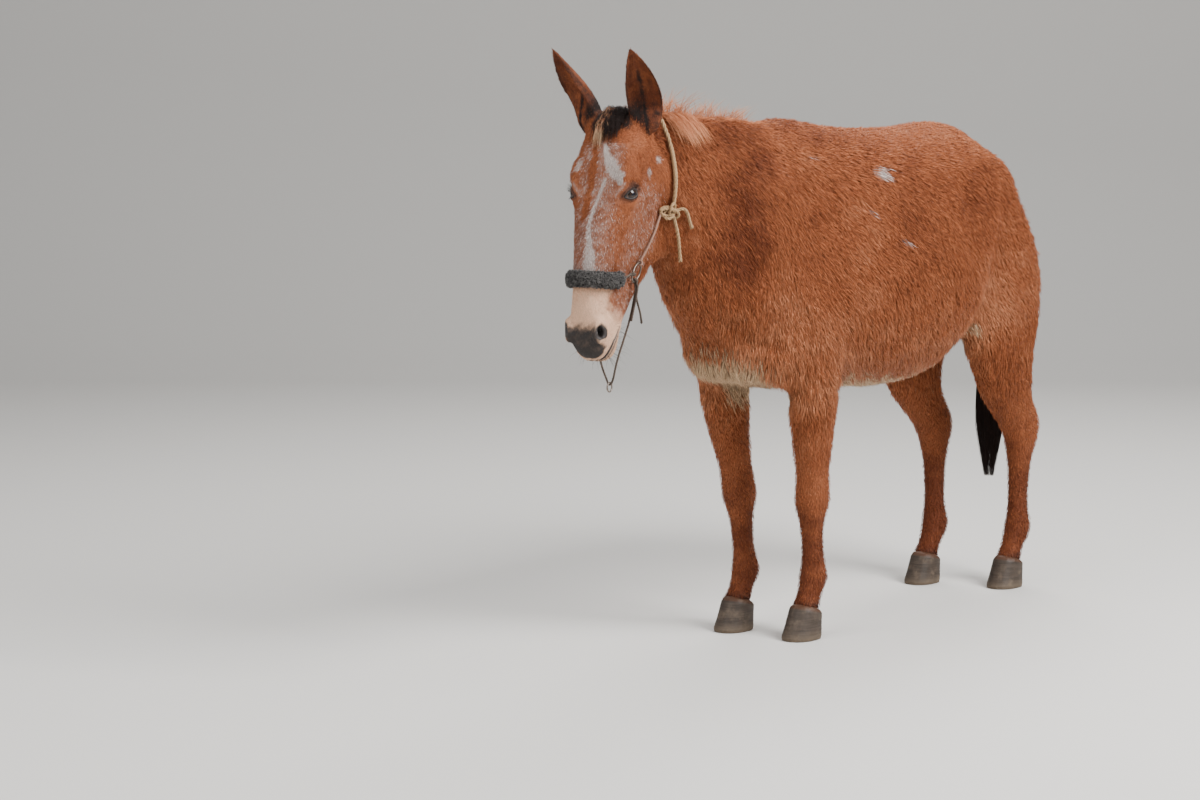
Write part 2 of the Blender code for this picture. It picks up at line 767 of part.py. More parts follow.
# share of the length, half width, depth of the back, and of the cup
EAR = (
    (0.00, 0.036, 0.040, -0.030),
    (0.10, 0.043, 0.044, -0.026),
    (0.19, 0.049, 0.048, -0.008),
    (0.28, 0.051, 0.049, 0.020),
    (0.40, 0.050, 0.046, 0.032),
    (0.53, 0.046, 0.039, 0.029),
    (0.66, 0.038, 0.030, 0.022),
    (0.78, 0.028, 0.021, 0.014),
    (0.88, 0.018, 0.014, 0.008),
    (0.95, 0.010, 0.009, 0.004),
    (1.00, 0.004, 0.005, 0.001),
)
EAR_ROOT = (-0.005, 0.090, -0.062)
EAR_FORWARD, EAR_OUTWARD = 0.166, 0.045
EAR_OPENING = math.radians(26)
EAR_BOW = {LEFT: 0.006, RIGHT: 0.034}


def ear(name, side):
    """A leaf-shaped cup on a curving axis, with its mouth forward and outward."""
    root = at_head(EAR_ROOT[0], -side * EAR_ROOT[1], EAR_ROOT[2])
    outward = TO_LEFT * -side
    rise = math.sqrt(EAR_LENGTH**2 - EAR_FORWARD**2 - EAR_OUTWARD**2)
    axis = (HEADING * EAR_FORWARD + outward * EAR_OUTWARD + UP * rise) / EAR_LENGTH
    facing = HEADING * math.cos(EAR_OPENING) + outward * math.sin(EAR_OPENING)
    facing = (facing - axis * facing.dot(axis)).normalized()
    across = axis.cross(facing)
    half = 8
    rings = []
    for share, width, back, cup in smooth_rows(EAR, 1):
        bow = EAR_BOW[side] * math.sin(math.pi * share) - 0.012 * share * share
        centre = root + axis * (share * EAR_LENGTH - 0.03) + outward * bow - facing * bow * 0.6
        ring = []
        for k in range(half):
            angle = math.pi * k / (half - 1)
            ring.append(centre + across * math.cos(angle) * width - facing * math.sin(angle) * back)
        for k in range(half):
            angle = math.pi * (1 - k / (half - 1))
            rim = width - min(EAR_WALL * 0.5, width * 0.3)
            ring.append(centre + across * math.cos(angle) * rim + facing * (0.004 - math.sin(angle) * cup))
        rings.append(ring)
    return object_from(skin_rings(rings), name)


# Hair, in flat tapered locks whose roots are sunk in what they grow from


def lock(path, normals, width, thick):
    """One lock along the path, its flat side towards the normals."""
    return tube(path, width, normals, thick, 4, lambda t: 0.80 + 0.9 * t - 1.55 * t * t)


def fused(core, locks):
    """Joins the locks to their core in one union."""
    group = bpy.data.collections.new("locks")
    for bm in locks:
        group.objects.link(object_from(bm, "lock"))
    modifier = core.modifiers.new("locks", "BOOLEAN")
    modifier.operation = "UNION"
    modifier.operand_type = "COLLECTION"
    modifier.collection = group
    modifier.solver = "MANIFOLD"
    bake_modifiers(core)
    for obj in list(group.objects):
        bpy.data.objects.remove(obj)
    bpy.data.collections.remove(group)
    return one_piece(core)


# The tail hangs close behind the buttocks and then in between the hind legs.
TAIL_LINE = (
    (0.640, 1.380),
    (0.735, 1.374),
    (0.795, 1.312),
    (0.820, 1.200),
    (0.824, 1.070),
    (0.810, 0.940),
    (0.788, 0.820),
    (0.772, 0.700),
    (0.758, 0.580),
    (0.752, 0.460),
    (0.752, 0.350),
)
TAIL_WIDTH = ((0.0, 0.030), (0.20, 0.038), (0.35, 0.048), (0.60, 0.062), (0.85, 0.054), (1.0, 0.020))
TAIL_FLATNESS = 0.62
TAIL_CORE_END = 0.72
TAIL_LOCKS = 18


class Tail:
    """The tail's middle line with its frame at any share of its length."""

    def __init__(self):
        self.path = smooth_path([(x, 0, z) for x, z in TAIL_LINE], 3)

    def at(self, share, angle, reach):
        """The point at a share of the length, in a direction round it, at reach times its outline."""
        place = min(max(share, 0.0), 1.0) * (len(self.path) - 1)
        i = min(int(place), len(self.path) - 2)
        along = (self.path[i + 1] - self.path[i]).normalized()
        across = Vector((0, 1, 0))
        thin = across.cross(along).normalized()
        middle = self.path[i].lerp(self.path[i + 1], place - i)
        width = between(TAIL_WIDTH, share)
        way = across * math.cos(angle) + thin * math.sin(angle) * TAIL_FLATNESS
        return middle + way * width * reach, way.normalized()


def tail_core(tail):
    rings = []
    steps = 11
    for i in range(steps + 1):
        share = TAIL_CORE_END * i / steps
        reach = 0.95 if share < 0.10 else 0.50 + 0.45 * math.exp(-(share - 0.10) * 12)
        if i == steps:
            reach = 0.15
        rings.append([tail.at(share, 2 * math.pi * k / 9, reach)[0] for k in range(9)])
    return object_from(skin_rings(rings), "tail")


def tail_locks(tail):
    draw = random.Random(41)
    locks = []
    for i in range(TAIL_LOCKS):
        angle = 2 * math.pi * (i * 0.618 + 0.04 * draw.random())
        root = 0.10 + 0.40 * i / TAIL_LOCKS
        tip = min(1.0, root + 0.44 + 0.10 * draw.random() + 0.12 * (i / TAIL_LOCKS))
        sway = draw.uniform(-0.20, 0.20)
        path, normals = [], []
        for k in range(5):
            t = k / 4
            share = root + (tip - root) * t
            reach = 0.30 + 1.5 * t - 1.05 * t * t
            point, way = tail.at(share, angle + sway * t, reach)
            path.append(point)
            normals.append(way)
        locks.append(lock(path, normals, draw.uniform(0.019, 0.027), 0.0070))
    return locks


def tail_hair():
    tail = Tail()
    return fused(tail_core(tail), tail_locks(tail))


# where the mane stands and hangs, its number of locks and their lengths
CREST_FRONT, CREST_BACK = -0.940, -0.600
STANDING_LOCKS, STANDING_LENGTH = 12, 0.068
HANGING_LOCKS, HANGING_LENGTH = 5, 0.155


def standing_lock(tree, x, lean, aside, length, width):
    """A short upright lock on the crest."""
    root = tree.ray_cast(Vector((x, aside * 0.010, 2.0)), -UP)[0]
    way = (UP + Vector((lean, aside * 0.5, 0))).normalized()
    path = []
    for k in range(4):
        t = k / 3
        droop = Vector((lean * 0.4, aside * 0.5, -0.25)) * length * t * t
        path.append(root + way * (length * t - 0.012 * (1 - t)) + droop)
    across = Vector((-way.z, 0, way.x)) * 0.3 + Vector((0, 1, 0))
    return lock(path, [across.normalized()] * 4, width, 0.0042)


def hanging_lock(tree, x, length, width, drift):
    """A longer lock that falls over the left side of the neck."""
    start = tree.ray_cast(Vector((x, -0.008, 2.0)), -UP)[0]
    path, normals = [start - UP * 0.012], [UP]
    for k in range(1, 6):
        t = k / 5
        guess = start + Vector((drift * t, -0.11 * math.sin(t * 1.3), -length * t * t * 0.9))
        near, normal = tree.find_nearest(guess)[:2]
        path.append(near + normal * (0.004 + 0.009 * t - 0.006 * t * t))
        normals.append(normal)
    return lock(path, normals, width, 0.0045)


def mane_hair(neck):
    tree = skin_tree(neck)
    draw = random.Random(17)
    locks = []
    for i in range(STANDING_LOCKS):
        x = CREST_FRONT + (CREST_BACK - CREST_FRONT) * (i + 0.5 * draw.random()) / STANDING_LOCKS
        fade = 1.0 - 0.45 * i / STANDING_LOCKS
        length = STANDING_LENGTH * fade * draw.uniform(0.75, 1.2)
        lean = 0.15 + 0.5 * i / STANDING_LOCKS + draw.uniform(-0.15, 0.15)
        aside = draw.uniform(-0.5, 0.3)
        locks.append(standing_lock(tree, x, lean, aside, length, draw.uniform(0.013, 0.017)))
    for i in range(HANGING_LOCKS):
        x = CREST_FRONT + 0.010 + 0.020 * i
        length = HANGING_LENGTH * draw.uniform(0.75, 1.1)
        locks.append(hanging_lock(tree, x, length, draw.uniform(0.012, 0.016), draw.uniform(0.0, 0.05)))
    return fused(neck, locks)


# down the face and out of it, along the middle of the forelock
FORELOCK_LINE = ((-0.022, -0.022), (-0.036, 0.016), (-0.020, 0.040), (0.016, 0.036), (0.058, 0.016))
FORELOCK_LOCKS = 8
FORELOCK_SPREAD = 0.028


def forelock_hair(head):
    """Locks between the ears, which rise and then fall forward over the brow."""
    draw = random.Random(40)
    locks = []
    for i in range(FORELOCK_LOCKS):
        spread = FORELOCK_SPREAD * (2 * ((i * 5) % FORELOCK_LOCKS) / (FORELOCK_LOCKS - 1) - 1)
        row = 0.020 * (i % 3)
        reach = draw.uniform(0.80, 1.15)
        rise = draw.uniform(0.75, 1.10)
        gather = draw.uniform(0.2, 0.9)
        path, normals = [], []
        for k, (u, w) in enumerate(FORELOCK_LINE):
            t = k / (len(FORELOCK_LINE) - 1)
            down = row * (1 - t) + u * (reach if u > 0 else 1)
            out = w * rise if w > 0.02 else w
            path.append(at_head(down, spread * (1 - gather * t) - 0.008 * t, out))
            normals.append((-DOWN_FACE).lerp(OUT_OF_FACE, 0.3 + 0.7 * t).normalized())
        locks.append(lock(path, normals, draw.uniform(0.011, 0.014), 0.0045))
    return fused(head, locks)


# The halter: a fleece-covered noseband and knotted ropes

RING_PLACE = (0.404, -0.150)
KNOT_PLACE = (0.211, -0.232)
CHEEK_START = (0.222, -0.194)
CROWN_X = -0.981


def skin_tree(obj):
    mesh = obj.data
    mesh.calc_loop_triangles()
    points = [v.co.copy() for v in mesh.vertices]
    return BVHTree.FromPolygons(points, [tuple(t.vertices) for t in mesh.loop_triangles])


def cheek_point(tree, side, down, out, lift):
    """A point over the side of the head and the surface's way out there."""
    start = at_head(down, -side * 0.4, out)
    hit, normal = tree.ray_cast(start, TO_LEFT * side)[:2]
    return hit + normal * lift, normal


def laid(tree, points, lift, steps=4):
    """A rope's path and normals through the points, kept out of the flesh."""
    path, normals = [], []
    for point in smooth_path(points, steps):
        near, normal = tree.find_nearest(point)[:2]
        if (point - near).dot(normal) < lift:
            point = near + normal * lift
        path.append(point)
        normals.append(normal)
    return path, normals


def ring_frame(tree, side):
    """A cheek ring's middle, and its turn: Z out of the cheek, X along its length."""
    middle, normal = cheek_point(tree, side, *RING_PLACE, RING_WIRE + 0.0055)
    upper = cheek_point(tree, side, *KNOT_PLACE, 0.0)[0]
    length = upper - middle
    length = (length - normal * length.dot(normal)).normalized()
    return middle, Matrix((length, normal.cross(length), normal)).transposed()


def ring_loop(tree, side, towards):
    """A loop of cord round the wire of a cheek ring, and the point where its cord leaves."""
    middle, turn = ring_frame(tree, side)
    aim = turn.transposed() @ (towards - middle)
    angle = math.atan2(aim.y / RING_WIDTH, aim.x / RING_LENGTH)
    outward = Vector((math.cos(angle) * RING_WIDTH, math.sin(angle) * RING_LENGTH, 0)).normalized()
    wire = Vector((math.cos(angle) * RING_LENGTH, math.sin(angle) * RING_WIDTH, 0))
    reach = RING_WIRE + 0.0010 + LOOP_RADIUS
    across = outward.cross(Vector((0, 0, 1)))
    loop_turn = turn @ Matrix((outward, Vector((0, 0, 1)), across)).transposed()
    loop = torus(middle + turn @ wire, loop_turn, reach, reach, LOOP_RADIUS, 9, 5)
    return loop, middle + turn @ (wire + outward * (reach + LOOP_RADIUS * 0.4))


def noseband(tree, shell):
    """The fleece tube over the nose, with a cord at each end that holds a ring."""
    path, normals = [], []
    steps = 12
    for i in range(steps + 1):
        angle = math.radians(82) * (2 * i / steps - 1)
        u = 0.462 - 0.030 * (angle / math.radians(90)) ** 2
        way = TO_LEFT * math.sin(angle) + OUT_OF_FACE * math.cos(angle)
        hit, normal = tree.ray_cast(at_head(u, 0, -0.09) + way * 0.4, -way)[:2]
        path.append(hit + normal * FLEECE_DEPTH * 0.72)
        normals.append(normal)

    def round_end(t):
        return min(1.0, 0.72 + 3.4 * min(t, 1 - t))

    band = object_from(tube(path, FLEECE_HEIGHT, normals, FLEECE_DEPTH, 8, round_end), "noseband")
    for side, end, inner in ((RIGHT, path[0], path[2]), (LEFT, path[-1], path[-3])):
        loop, tie = ring_loop(tree, side, end)
        cord_path = laid(tree, [inner, end, tie], CORD_RADIUS, 2)[0]
        boolean(band, object_from(tube(cord_path, CORD_RADIUS, sides=5), "cord"), "UNION")
        boolean(band, object_from(loop, "loop"), "UNION")
    return clear_of(band, shell)


def cheek_ring(name, tree, side):
    middle, turn = ring_frame(tree, side)
    return object_from(torus(middle, turn, RING_LENGTH, RING_WIDTH, RING_WIRE, 16, 6), name)


def knot(tree, side):
    """A bulky knot behind the cheek, with an oval loop forward of it."""
    middle, normal = cheek_point(tree, side, *KNOT_PLACE, 0.010)
    front, front_normal = cheek_point(tree, side, *CHEEK_START, 0.006)
    length = (front - middle).normalized()
    normal = (normal - length * normal.dot(length)).normalized()
    turn = Matrix((length, normal.cross(length), normal)).transposed()
    core = ellipsoid(middle, (0.018, 0.023, 0.013), turn, 9)
    reach = (front - middle).length / 2
    loop = torus(middle.lerp(front, 0.5), turn, reach + 0.004, 0.013, ROPE_RADIUS * 0.9, 11, 5)
    return core, loop


def crown_rope(tree, shell):
    """The rope behind the ears, with a knot behind each cheek and loose ends."""
    points = []
    for side in (LEFT, RIGHT):
        half = []
        for i in range(11):
            angle = math.radians(-56 + 141 * i / 10)
            way = Vector((0, side * math.cos(angle), math.sin(angle)))
            hit, normal = tree.ray_cast(Vector((CROWN_X, 0, 1.42)) + way * 0.5, -way)[:2]
            half.append(hit + normal * ROPE_LIFT)
        points += half if side == LEFT else list(reversed(half))
    path, normals = laid(tree, points, ROPE_LIFT, 1)
    rope = object_from(tube(path, ROPE_RADIUS, normals, sides=5), "crown_rope")
    for side in (LEFT, RIGHT):
        for bm in knot(tree, side):
            boolean(rope, object_from(bm, "knot"), "UNION")
        start = cheek_point(tree, side, *KNOT_PLACE, 0.010)[0]
        ends = (
            [start, start + Vector((0.020, side * 0.006, -0.045)), start + Vector((0.046, 0.0, -0.105))],
            [start, start + Vector((0.036, side * 0.014, 0.002)), start + Vector((0.056, side * 0.012, -0.040))],
        )
        for points in ends:
            end_path, end_normals = laid(tree, points, ROPE_RADIUS + 0.001, 3)
            end_rope = tube(end_path, ROPE_RADIUS * 0.9, end_normals, sides=5)
            boolean(rope, object_from(end_rope, "end"), "UNION")
    return clear_of(rope, shell)


def cheek_rope(name, tree, side, shell, crown):
    """The rope from the knot down the cheek to the ring."""
    upper, normal = cheek_point(tree, side, *CHEEK_START, 0.006)
    loop, tie = ring_loop(tree, side, upper)
    middle = cheek_point(tree, side, 0.300, -0.176, CORD_RADIUS)[0]
    path, normals = laid(tree, [upper, middle, tie], CORD_RADIUS, 4)
    rope = object_from(tube(path, CORD_RADIUS, normals, sides=5), name)
    boolean(rope, object_from(loop, "loop"), "UNION")
    boolean(rope, swollen(crown, TOUCH, "crown_cutter"), "DIFFERENCE")
    return clear_of(rope, shell)


# Points of the slack cord under the chin, each given for the left half
CHIN_CORD = (
    (0.453, 0.066, -0.165),
    (0.537, 0.050, -0.182),
    (0.644, 0.028, -0.184),
    (0.700, 0.010, -0.204),
)
CHIN_BOTTOM = (0.714, 0.0, -0.207)
STRAP_END = ((0.477, 0.066, -0.180), (0.505, 0.058, -0.222), (0.530, 0.054, -0.246))


def chin_cord(tree, shell):
    """The slack cord that hangs from ring to ring under the chin, and the strap's loose end."""
    loops, halves = [], []
    for side in (LEFT, RIGHT):
        points = [at_head(u, -side * v, w) for u, v, w in CHIN_CORD]
        loop, tie = ring_loop(tree, side, points[0])
        loops.append(loop)
        halves.append([tie] + points)
    whole = halves[0] + [at_head(*CHIN_BOTTOM)] + list(reversed(halves[1]))
    path, normals = laid(tree, whole, CORD_RADIUS, 2)
    cord = object_from(tube(path, CORD_RADIUS * 0.8, normals, sides=5), "chin_cord")
    for loop in loops:
        boolean(cord, object_from(loop, "loop"), "UNION")
    end_path, end_normals = laid(tree, [halves[0][0]] + [at_head(*p) for p in STRAP_END], CORD_RADIUS, 2)
    strap = tube(end_path, CORD_RADIUS, end_normals, CORD_RADIUS * 0.5, 4)
    boolean(cord, object_from(strap, "strap"), "UNION")
    return clear_of(cord, shell)


def chin_ring():
    """A small ring that hangs on the chin cord."""
    middle = at_head(*CHIN_BOTTOM) - UP * (CHIN_RING - CORD_RADIUS - RING_WIRE * 0.6 - TOUCH)
    turn = Matrix((Vector((0, 0, 1)), Vector((-1, 0, 0)), Vector((0, 1, 0)))).transposed()
    turn = Matrix.Rotation(HEAD_YAW, 3, "Z") @ turn
    return object_from(torus(middle, turn, CHIN_RING, CHIN_RING, RING_WIRE * 0.8, 14, 5), "ring_chin")


def stand_centred():
    """Parents every piece to one empty, which brings the middle of the model over the origin."""
    bpy.context.view_layer.update()
    corners = []
    for obj in bpy.data.objects:
        corners += [obj.matrix_world @ Vector(corner) for corner in obj.bound_box]
    low = Vector([min(c[i] for c in corners) for i in range(3)])
    high = Vector([max(c[i] for c in corners) for i in range(3)])
    root = bpy.data.objects.new("mule", None)
    bpy.context.scene.collection.objects.link(root)
    for obj in list(bpy.data.objects):
        if obj is not root:
            obj.parent = root
    root.location = (-(low.x + high.x) / 2, -(low.y + high.y) / 2, -low.z)
    bpy.context.view_layer.update()


def main():
    clear_scene()
    coat = material("coat", (0.30, 0.085, 0.035), 0.8)
    horn = material("hoof_horn", (0.09, 0.065, 0.05), 0.5)
    dark_hair = material("dark_hair", (0.05, 0.022, 0.014), 0.7)
    eye_gloss = material("eye_gloss", (0.02, 0.012, 0.010), 0.08)
    fleece = material("dark_fleece", (0.035, 0.035, 0.038), 0.95)
    rope_look = material("pale_rope", (0.50, 0.38, 0.24), 0.9)
    dark_cord = material("dark_cord", (0.12, 0.07, 0.045), 0.85)
    steel = material("steel_ring", (0.35, 0.33, 0.30), 0.35, 1.0)

    body = flesh()
    thinned(body, FIRST_TRIANGLES)
    thinned(body, FLESH_TRIANGLES, flesh_coarseness)
    shell = swollen(body, TOUCH, "shell")
    tree = skin_tree(shell)
    pieces = parted(body)
    detail_head(pieces["head"])
    forelock_hair(pieces["head"])
    mane_hair(pieces["neck"])
    for name, side in SIDES.items():
        pieces["ear_" + name] = clear_of(ear("ear_" + name, side), shell)
    paint(pieces.values(), coat)
    tail = clear_of(tail_hair(), shell)
    paint([tail], dark_hair)
    paint([hoof(leg) for leg in SWING], horn)
    paint([eyeball("eye_" + name, side) for name, side in SIDES.items()], eye_gloss)
    paint([noseband(tree, shell)], fleece)
    rings = [cheek_ring("ring_" + name, tree, side) for name, side in SIDES.items()]
    paint(rings + [chin_ring()], steel)
    crown = crown_rope(tree, shell)
    ropes = [cheek_rope("cheek_rope_" + name, tree, side, shell, crown) for name, side in SIDES.items()]
    paint([crown] + ropes, rope_look)
    paint([chin_cord(tree, shell)], dark_cord)

    bpy.data.objects.remove(body)
    bpy.data.objects.remove(shell)
    for obj in bpy.data.objects:
        obj.data.shade_smooth()
        obj.data.set_sharp_from_angle(angle=math.radians(40))
    stand_centred()


main()
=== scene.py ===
"""The looks of a life-size standing mule in a rope and fleece halter, built on its packed CAD frame."""
import math
from functools import cache

import bmesh
import bpy
import numpy as np
from bpy.props import FloatProperty, FloatVectorProperty, IntProperty, PointerProperty
from mathutils import Matrix, Vector
from mathutils.bvhtree import BVHTree


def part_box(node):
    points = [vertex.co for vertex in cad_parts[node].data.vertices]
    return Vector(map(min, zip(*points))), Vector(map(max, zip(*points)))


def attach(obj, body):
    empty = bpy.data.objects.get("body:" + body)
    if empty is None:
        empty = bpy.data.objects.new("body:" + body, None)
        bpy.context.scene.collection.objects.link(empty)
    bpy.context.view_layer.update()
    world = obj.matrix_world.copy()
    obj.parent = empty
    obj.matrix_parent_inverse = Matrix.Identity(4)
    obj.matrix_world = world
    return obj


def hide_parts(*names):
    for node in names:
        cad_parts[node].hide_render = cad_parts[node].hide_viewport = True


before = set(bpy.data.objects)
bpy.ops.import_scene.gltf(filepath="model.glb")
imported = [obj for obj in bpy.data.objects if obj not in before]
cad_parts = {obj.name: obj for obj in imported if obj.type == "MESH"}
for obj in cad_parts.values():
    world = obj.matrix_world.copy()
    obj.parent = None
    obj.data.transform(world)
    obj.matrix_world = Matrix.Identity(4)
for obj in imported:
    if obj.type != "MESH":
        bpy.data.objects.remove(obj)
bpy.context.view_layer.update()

bl_info = {
    "name": "Standing Mule",
    "version": (1, 0, 0),
    "blender": (4, 5, 0),
    "location": "3D View > Sidebar > Mule",
    "description": "A haltered mule in its shaggy winter coat, as a museum model",
    "category": "Add Mesh",
}

SIDES = {"left": -1, "right": 1}
UP = Vector((0, 0, 1))
LEGS = ("foreleg_left", "foreleg_right", "hindleg_left", "hindleg_right")
FLESH = ("head", "neck", "torso") + LEGS
EARS = ("ear_left", "ear_right")
EYES = ("eye_left", "eye_right")

# The head's own frame, as in the solids: down the face from the poll, to the left, and out of it
POLL = Vector((-0.9321, 0.0003, 1.560))
HEAD_YAW = math.radians(12.0)
HEAD_PITCH = math.radians(74.0)
HEADING = Vector((-math.cos(HEAD_YAW), -math.sin(HEAD_YAW), 0.0))
DOWN_FACE = HEADING * math.cos(HEAD_PITCH) - UP * math.sin(HEAD_PITCH)
OUT_OF_FACE = HEADING * math.sin(HEAD_PITCH) + UP * math.cos(HEAD_PITCH)
TO_LEFT = OUT_OF_FACE.cross(DOWN_FACE)
HEAD_TURN = Matrix((DOWN_FACE, TO_LEFT, OUT_OF_FACE)).transposed()
EYE = (0.213, 0.0785, -0.035)
EYE_RADIUS = 0.0225
NOSTRIL = np.array((0.597, 0.050, -0.030))


def at_head(down, left, out):
    """A point of the head's frame in the row frame."""
    return POLL + HEAD_TURN @ Vector((down, left, out))


def in_head(points):
    """Row frame points, as arrays, in the head's frame."""
    return (np.asarray(points) - np.array(POLL)) @ np.array(HEAD_TURN)


def smooth_share(low, high, values):
    """0 below low, 1 above high, eased in between."""
    t = np.clip((values - low) / (high - low), 0, 1)
    return t * t * (3 - 2 * t)


def unit(vectors):
    return vectors / np.maximum(np.linalg.norm(vectors, axis=1, keepdims=True), 1e-9)


def hump(values, at, width):
    """1 where the values are at a place, falling off evenly to both sides."""
    return np.exp(-(((values - at) / width) ** 2))


def ripple(points, scale, seed):
    """Smooth noise from about -1 to 1 at points, with features of a size, from crossed waves."""
    draw = np.random.default_rng(seed)
    total = np.zeros(len(points))
    for _ in range(6):
        way = draw.normal(size=3)
        way *= 2 * math.pi / scale / np.linalg.norm(way) * draw.uniform(0.6, 1.5)
        total += np.sin(points @ way + draw.uniform(0, 2 * math.pi))
    return total / 2.6


# Meshes


def add_object(name, mesh):
    obj = bpy.data.objects.new(name, mesh)
    bpy.context.scene.collection.objects.link(obj)
    return obj


def object_from(bm, name):
    mesh = bpy.data.meshes.new(name)
    bm.to_mesh(mesh)
    bm.free()
    mesh.shade_smooth()
    return add_object(name, mesh)


def node_copy(name, swell=0.0):
    """A merged bmesh copy of a CAD node, a little swollen where it has to meet its neighbours."""
    bm = bmesh.new()
    bm.from_mesh(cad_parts[name].data)
    bmesh.ops.remove_doubles(bm, verts=bm.verts, dist=0.00001)
    bm.normal_update()
    for v in bm.verts:
        v.co += v.normal * swell
    return bm


def joined_nodes(names, swell):
    """The named nodes in one bmesh, not yet merged, without the locks of the solids' hair."""
    whole = bmesh.new()
    for name in names:
        bm = node_copy(name, swell)
        if name in ("head", "neck"):
            without_locks(bm, name)
        mesh = bpy.data.meshes.new("part")
        bm.to_mesh(mesh)
        bm.free()
        whole.from_mesh(mesh)
        bpy.data.meshes.remove(mesh)
    return whole


def remeshed(bm, voxel):
    """The bmesh as one skin of even faces."""
    obj = object_from(bm, "rough")
    modifier = obj.modifiers.new("remesh", "REMESH")
    modifier.mode = "VOXEL"
    modifier.voxel_size = voxel
    graph = bpy.context.evaluated_depsgraph_get()
    mesh = bpy.data.meshes.new_from_object(obj.evaluated_get(graph))
    bpy.data.objects.remove(obj)
    made = bmesh.new()
    made.from_mesh(mesh)
    bpy.data.meshes.remove(mesh)
    return made


def cut_open(bm, point, normal):
    """Removes what lies past the plane and leaves the cut open."""
    geom = bm.verts[:] + bm.edges[:] + bm.faces[:]
    bmesh.ops.bisect_plane(bm, geom=geom, plane_co=point, plane_no=normal, clear_outer=True)
    loose = [v for v in bm.verts if not v.link_faces]
    bmesh.ops.delete(bm, geom=loose, context="VERTS")


def largest_piece(bm):
    """Removes all but the piece with the most points."""
    unseen = set(bm.verts)
    best = set()
    while unseen:
        front = [unseen.pop()]
        piece = set(front)
        while front:
            for edge in front.pop().link_edges:
                for vertex in edge.verts:
                    if vertex in unseen:
                        unseen.discard(vertex)
                        piece.add(vertex)
                        front.append(vertex)
        if len(piece) > len(best):
            best = piece
    bmesh.ops.delete(bm, geom=[v for v in bm.verts if v not in best], context="VERTS")


class Skin:
    """The skin's points, normals and triangles as arrays, with smoothing and sculpting on them."""

    def __init__(self, bm):
        bm.verts.index_update()
        self.points = np.array([v.co for v in bm.verts])
        self.edges = np.array([[v.index for v in e.verts] for e in bm.edges])
        loops = bm.calc_loop_triangles()
        self.faces = np.array([[loop.vert.index for loop in corner] for corner in loops])
        self.update()

    def update(self):
        a, b, c = (self.points[self.faces[:, k]] for k in range(3))
        across = np.cross(b - a, c - a)
        self.areas = np.linalg.norm(across, axis=1) / 2
        total = np.zeros_like(self.points)
        for k in range(3):
            for axis in range(3):
                total[:, axis] += np.bincount(self.faces[:, k], across[:, axis], len(total))
        self.normals = unit(total)

    def spread(self, values, times, share=0.5, weights=1.0):
        """Evens out values at the points with their neighbours'."""
        a, b = self.edges.T
        count = np.bincount(a, minlength=len(self.points)) + np.bincount(b, minlength=len(self.points))
        values = np.array(values, float).reshape(len(self.points), -1)
        for _ in range(times):
            total = np.zeros_like(values)
            for k in range(values.shape[1]):
                total[:, k] = np.bincount(a, values[b, k], len(values))
                total[:, k] += np.bincount(b, values[a, k], len(values))
            mean = total / np.maximum(count, 1)[:, None]
            values += (mean - values) * share * np.reshape(weights, (-1, 1))
        return values

    def soften(self, times, weights=1.0):
        self.points = self.spread(self.points, times, 0.6, weights)
        self.update()

    def push(self, distance):
        self.points = self.points + self.normals * np.reshape(distance, (-1, 1))
        self.update()


def mesh_from_arrays(name, points, faces, uvs=None, values=None):
    """A mesh from arrays of points and of triangles or quads."""
    mesh = bpy.data.meshes.new(name)
    sides = faces.shape[1]
    mesh.vertices.add(len(points))
    mesh.vertices.foreach_set("co", np.asarray(points, np.float32).ravel())
    mesh.loops.add(faces.size)
    mesh.loops.foreach_set("vertex_index", np.asarray(faces, np.int32).ravel())
    mesh.polygons.add(len(faces))
    mesh.polygons.foreach_set("loop_start", np.arange(0, faces.size, sides, dtype=np.int32))
    mesh.polygons.foreach_set("loop_total", np.full(len(faces), sides, np.int32))
    mesh.update(calc_edges=True)
    if uvs is not None:
        layer = mesh.uv_layers.new(name="OFBake")
        layer.data.foreach_set("uv", np.asarray(uvs, np.float32)[faces.ravel()].ravel())
    for label, data in (values or {}).items():
        attribute = mesh.attributes.new(label, "FLOAT", "POINT")
        attribute.data.foreach_set("value", np.asarray(data, np.float32))
    mesh.shade_smooth()
    return mesh


def wall_faces(rings, sides, first=0):
    """Triangles between rings of points that follow one another from a first point."""
    faces = []
    for ring in range(rings - 1):
        for k in range(sides):
            a = first + sides * ring + k
            b = first + sides * ring + (k + 1) % sides
            faces += [(a, b, b + sides), (a, b + sides, a + sides)]
    return faces


def lofted(rings):
    """A closed skin through rings of places, flat at both ends."""
    bm = bmesh.new()
    rows = [[bm.verts.new(place) for place in ring] for ring in rings]
    edges = [[bm.edges.new((row[k - 1], row[k])) for k in range(len(row))] for row in rows]
    for one, two in zip(edges[:-1], edges[1:]):
        bmesh.ops.bridge_loops(bm, edges=one + two)
    bm.faces.new(rows[0])
    bm.faces.new(rows[-1])
    bmesh.ops.recalc_face_normals(bm, faces=bm.faces)
    made = Skin(bm)
    bm.free()
    return made


def dressed(obj, material, slot, *nodes):
    """Gives a piece its finish and the body it rides on, and hides the solids it stands for."""
    obj.data.materials.append(material)
    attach(obj, "root")
    if nodes:
        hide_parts(*nodes)


def nearest_on_path(points, path):
    """The distance from each point to a line of points."""
    best = np.full(len(points), 1e9)
    path = np.array(path, float)
    if len(path) == 1:
        return np.linalg.norm(points - path[0], axis=1)
    for a, b in zip(path[:-1], path[1:]):
        way = b - a
        t = np.clip((points - a) @ way / max(way @ way, 1e-12), 0, 1)
        best = np.minimum(best, np.linalg.norm(points - a - t[:, None] * way, axis=1))
    return best


def nearest_of(points, places):
    """The distance from each point to the nearest of a few places."""
    return np.min([np.linalg.norm(points - np.array(place), axis=1) for place in places], axis=0)


# Shader maths


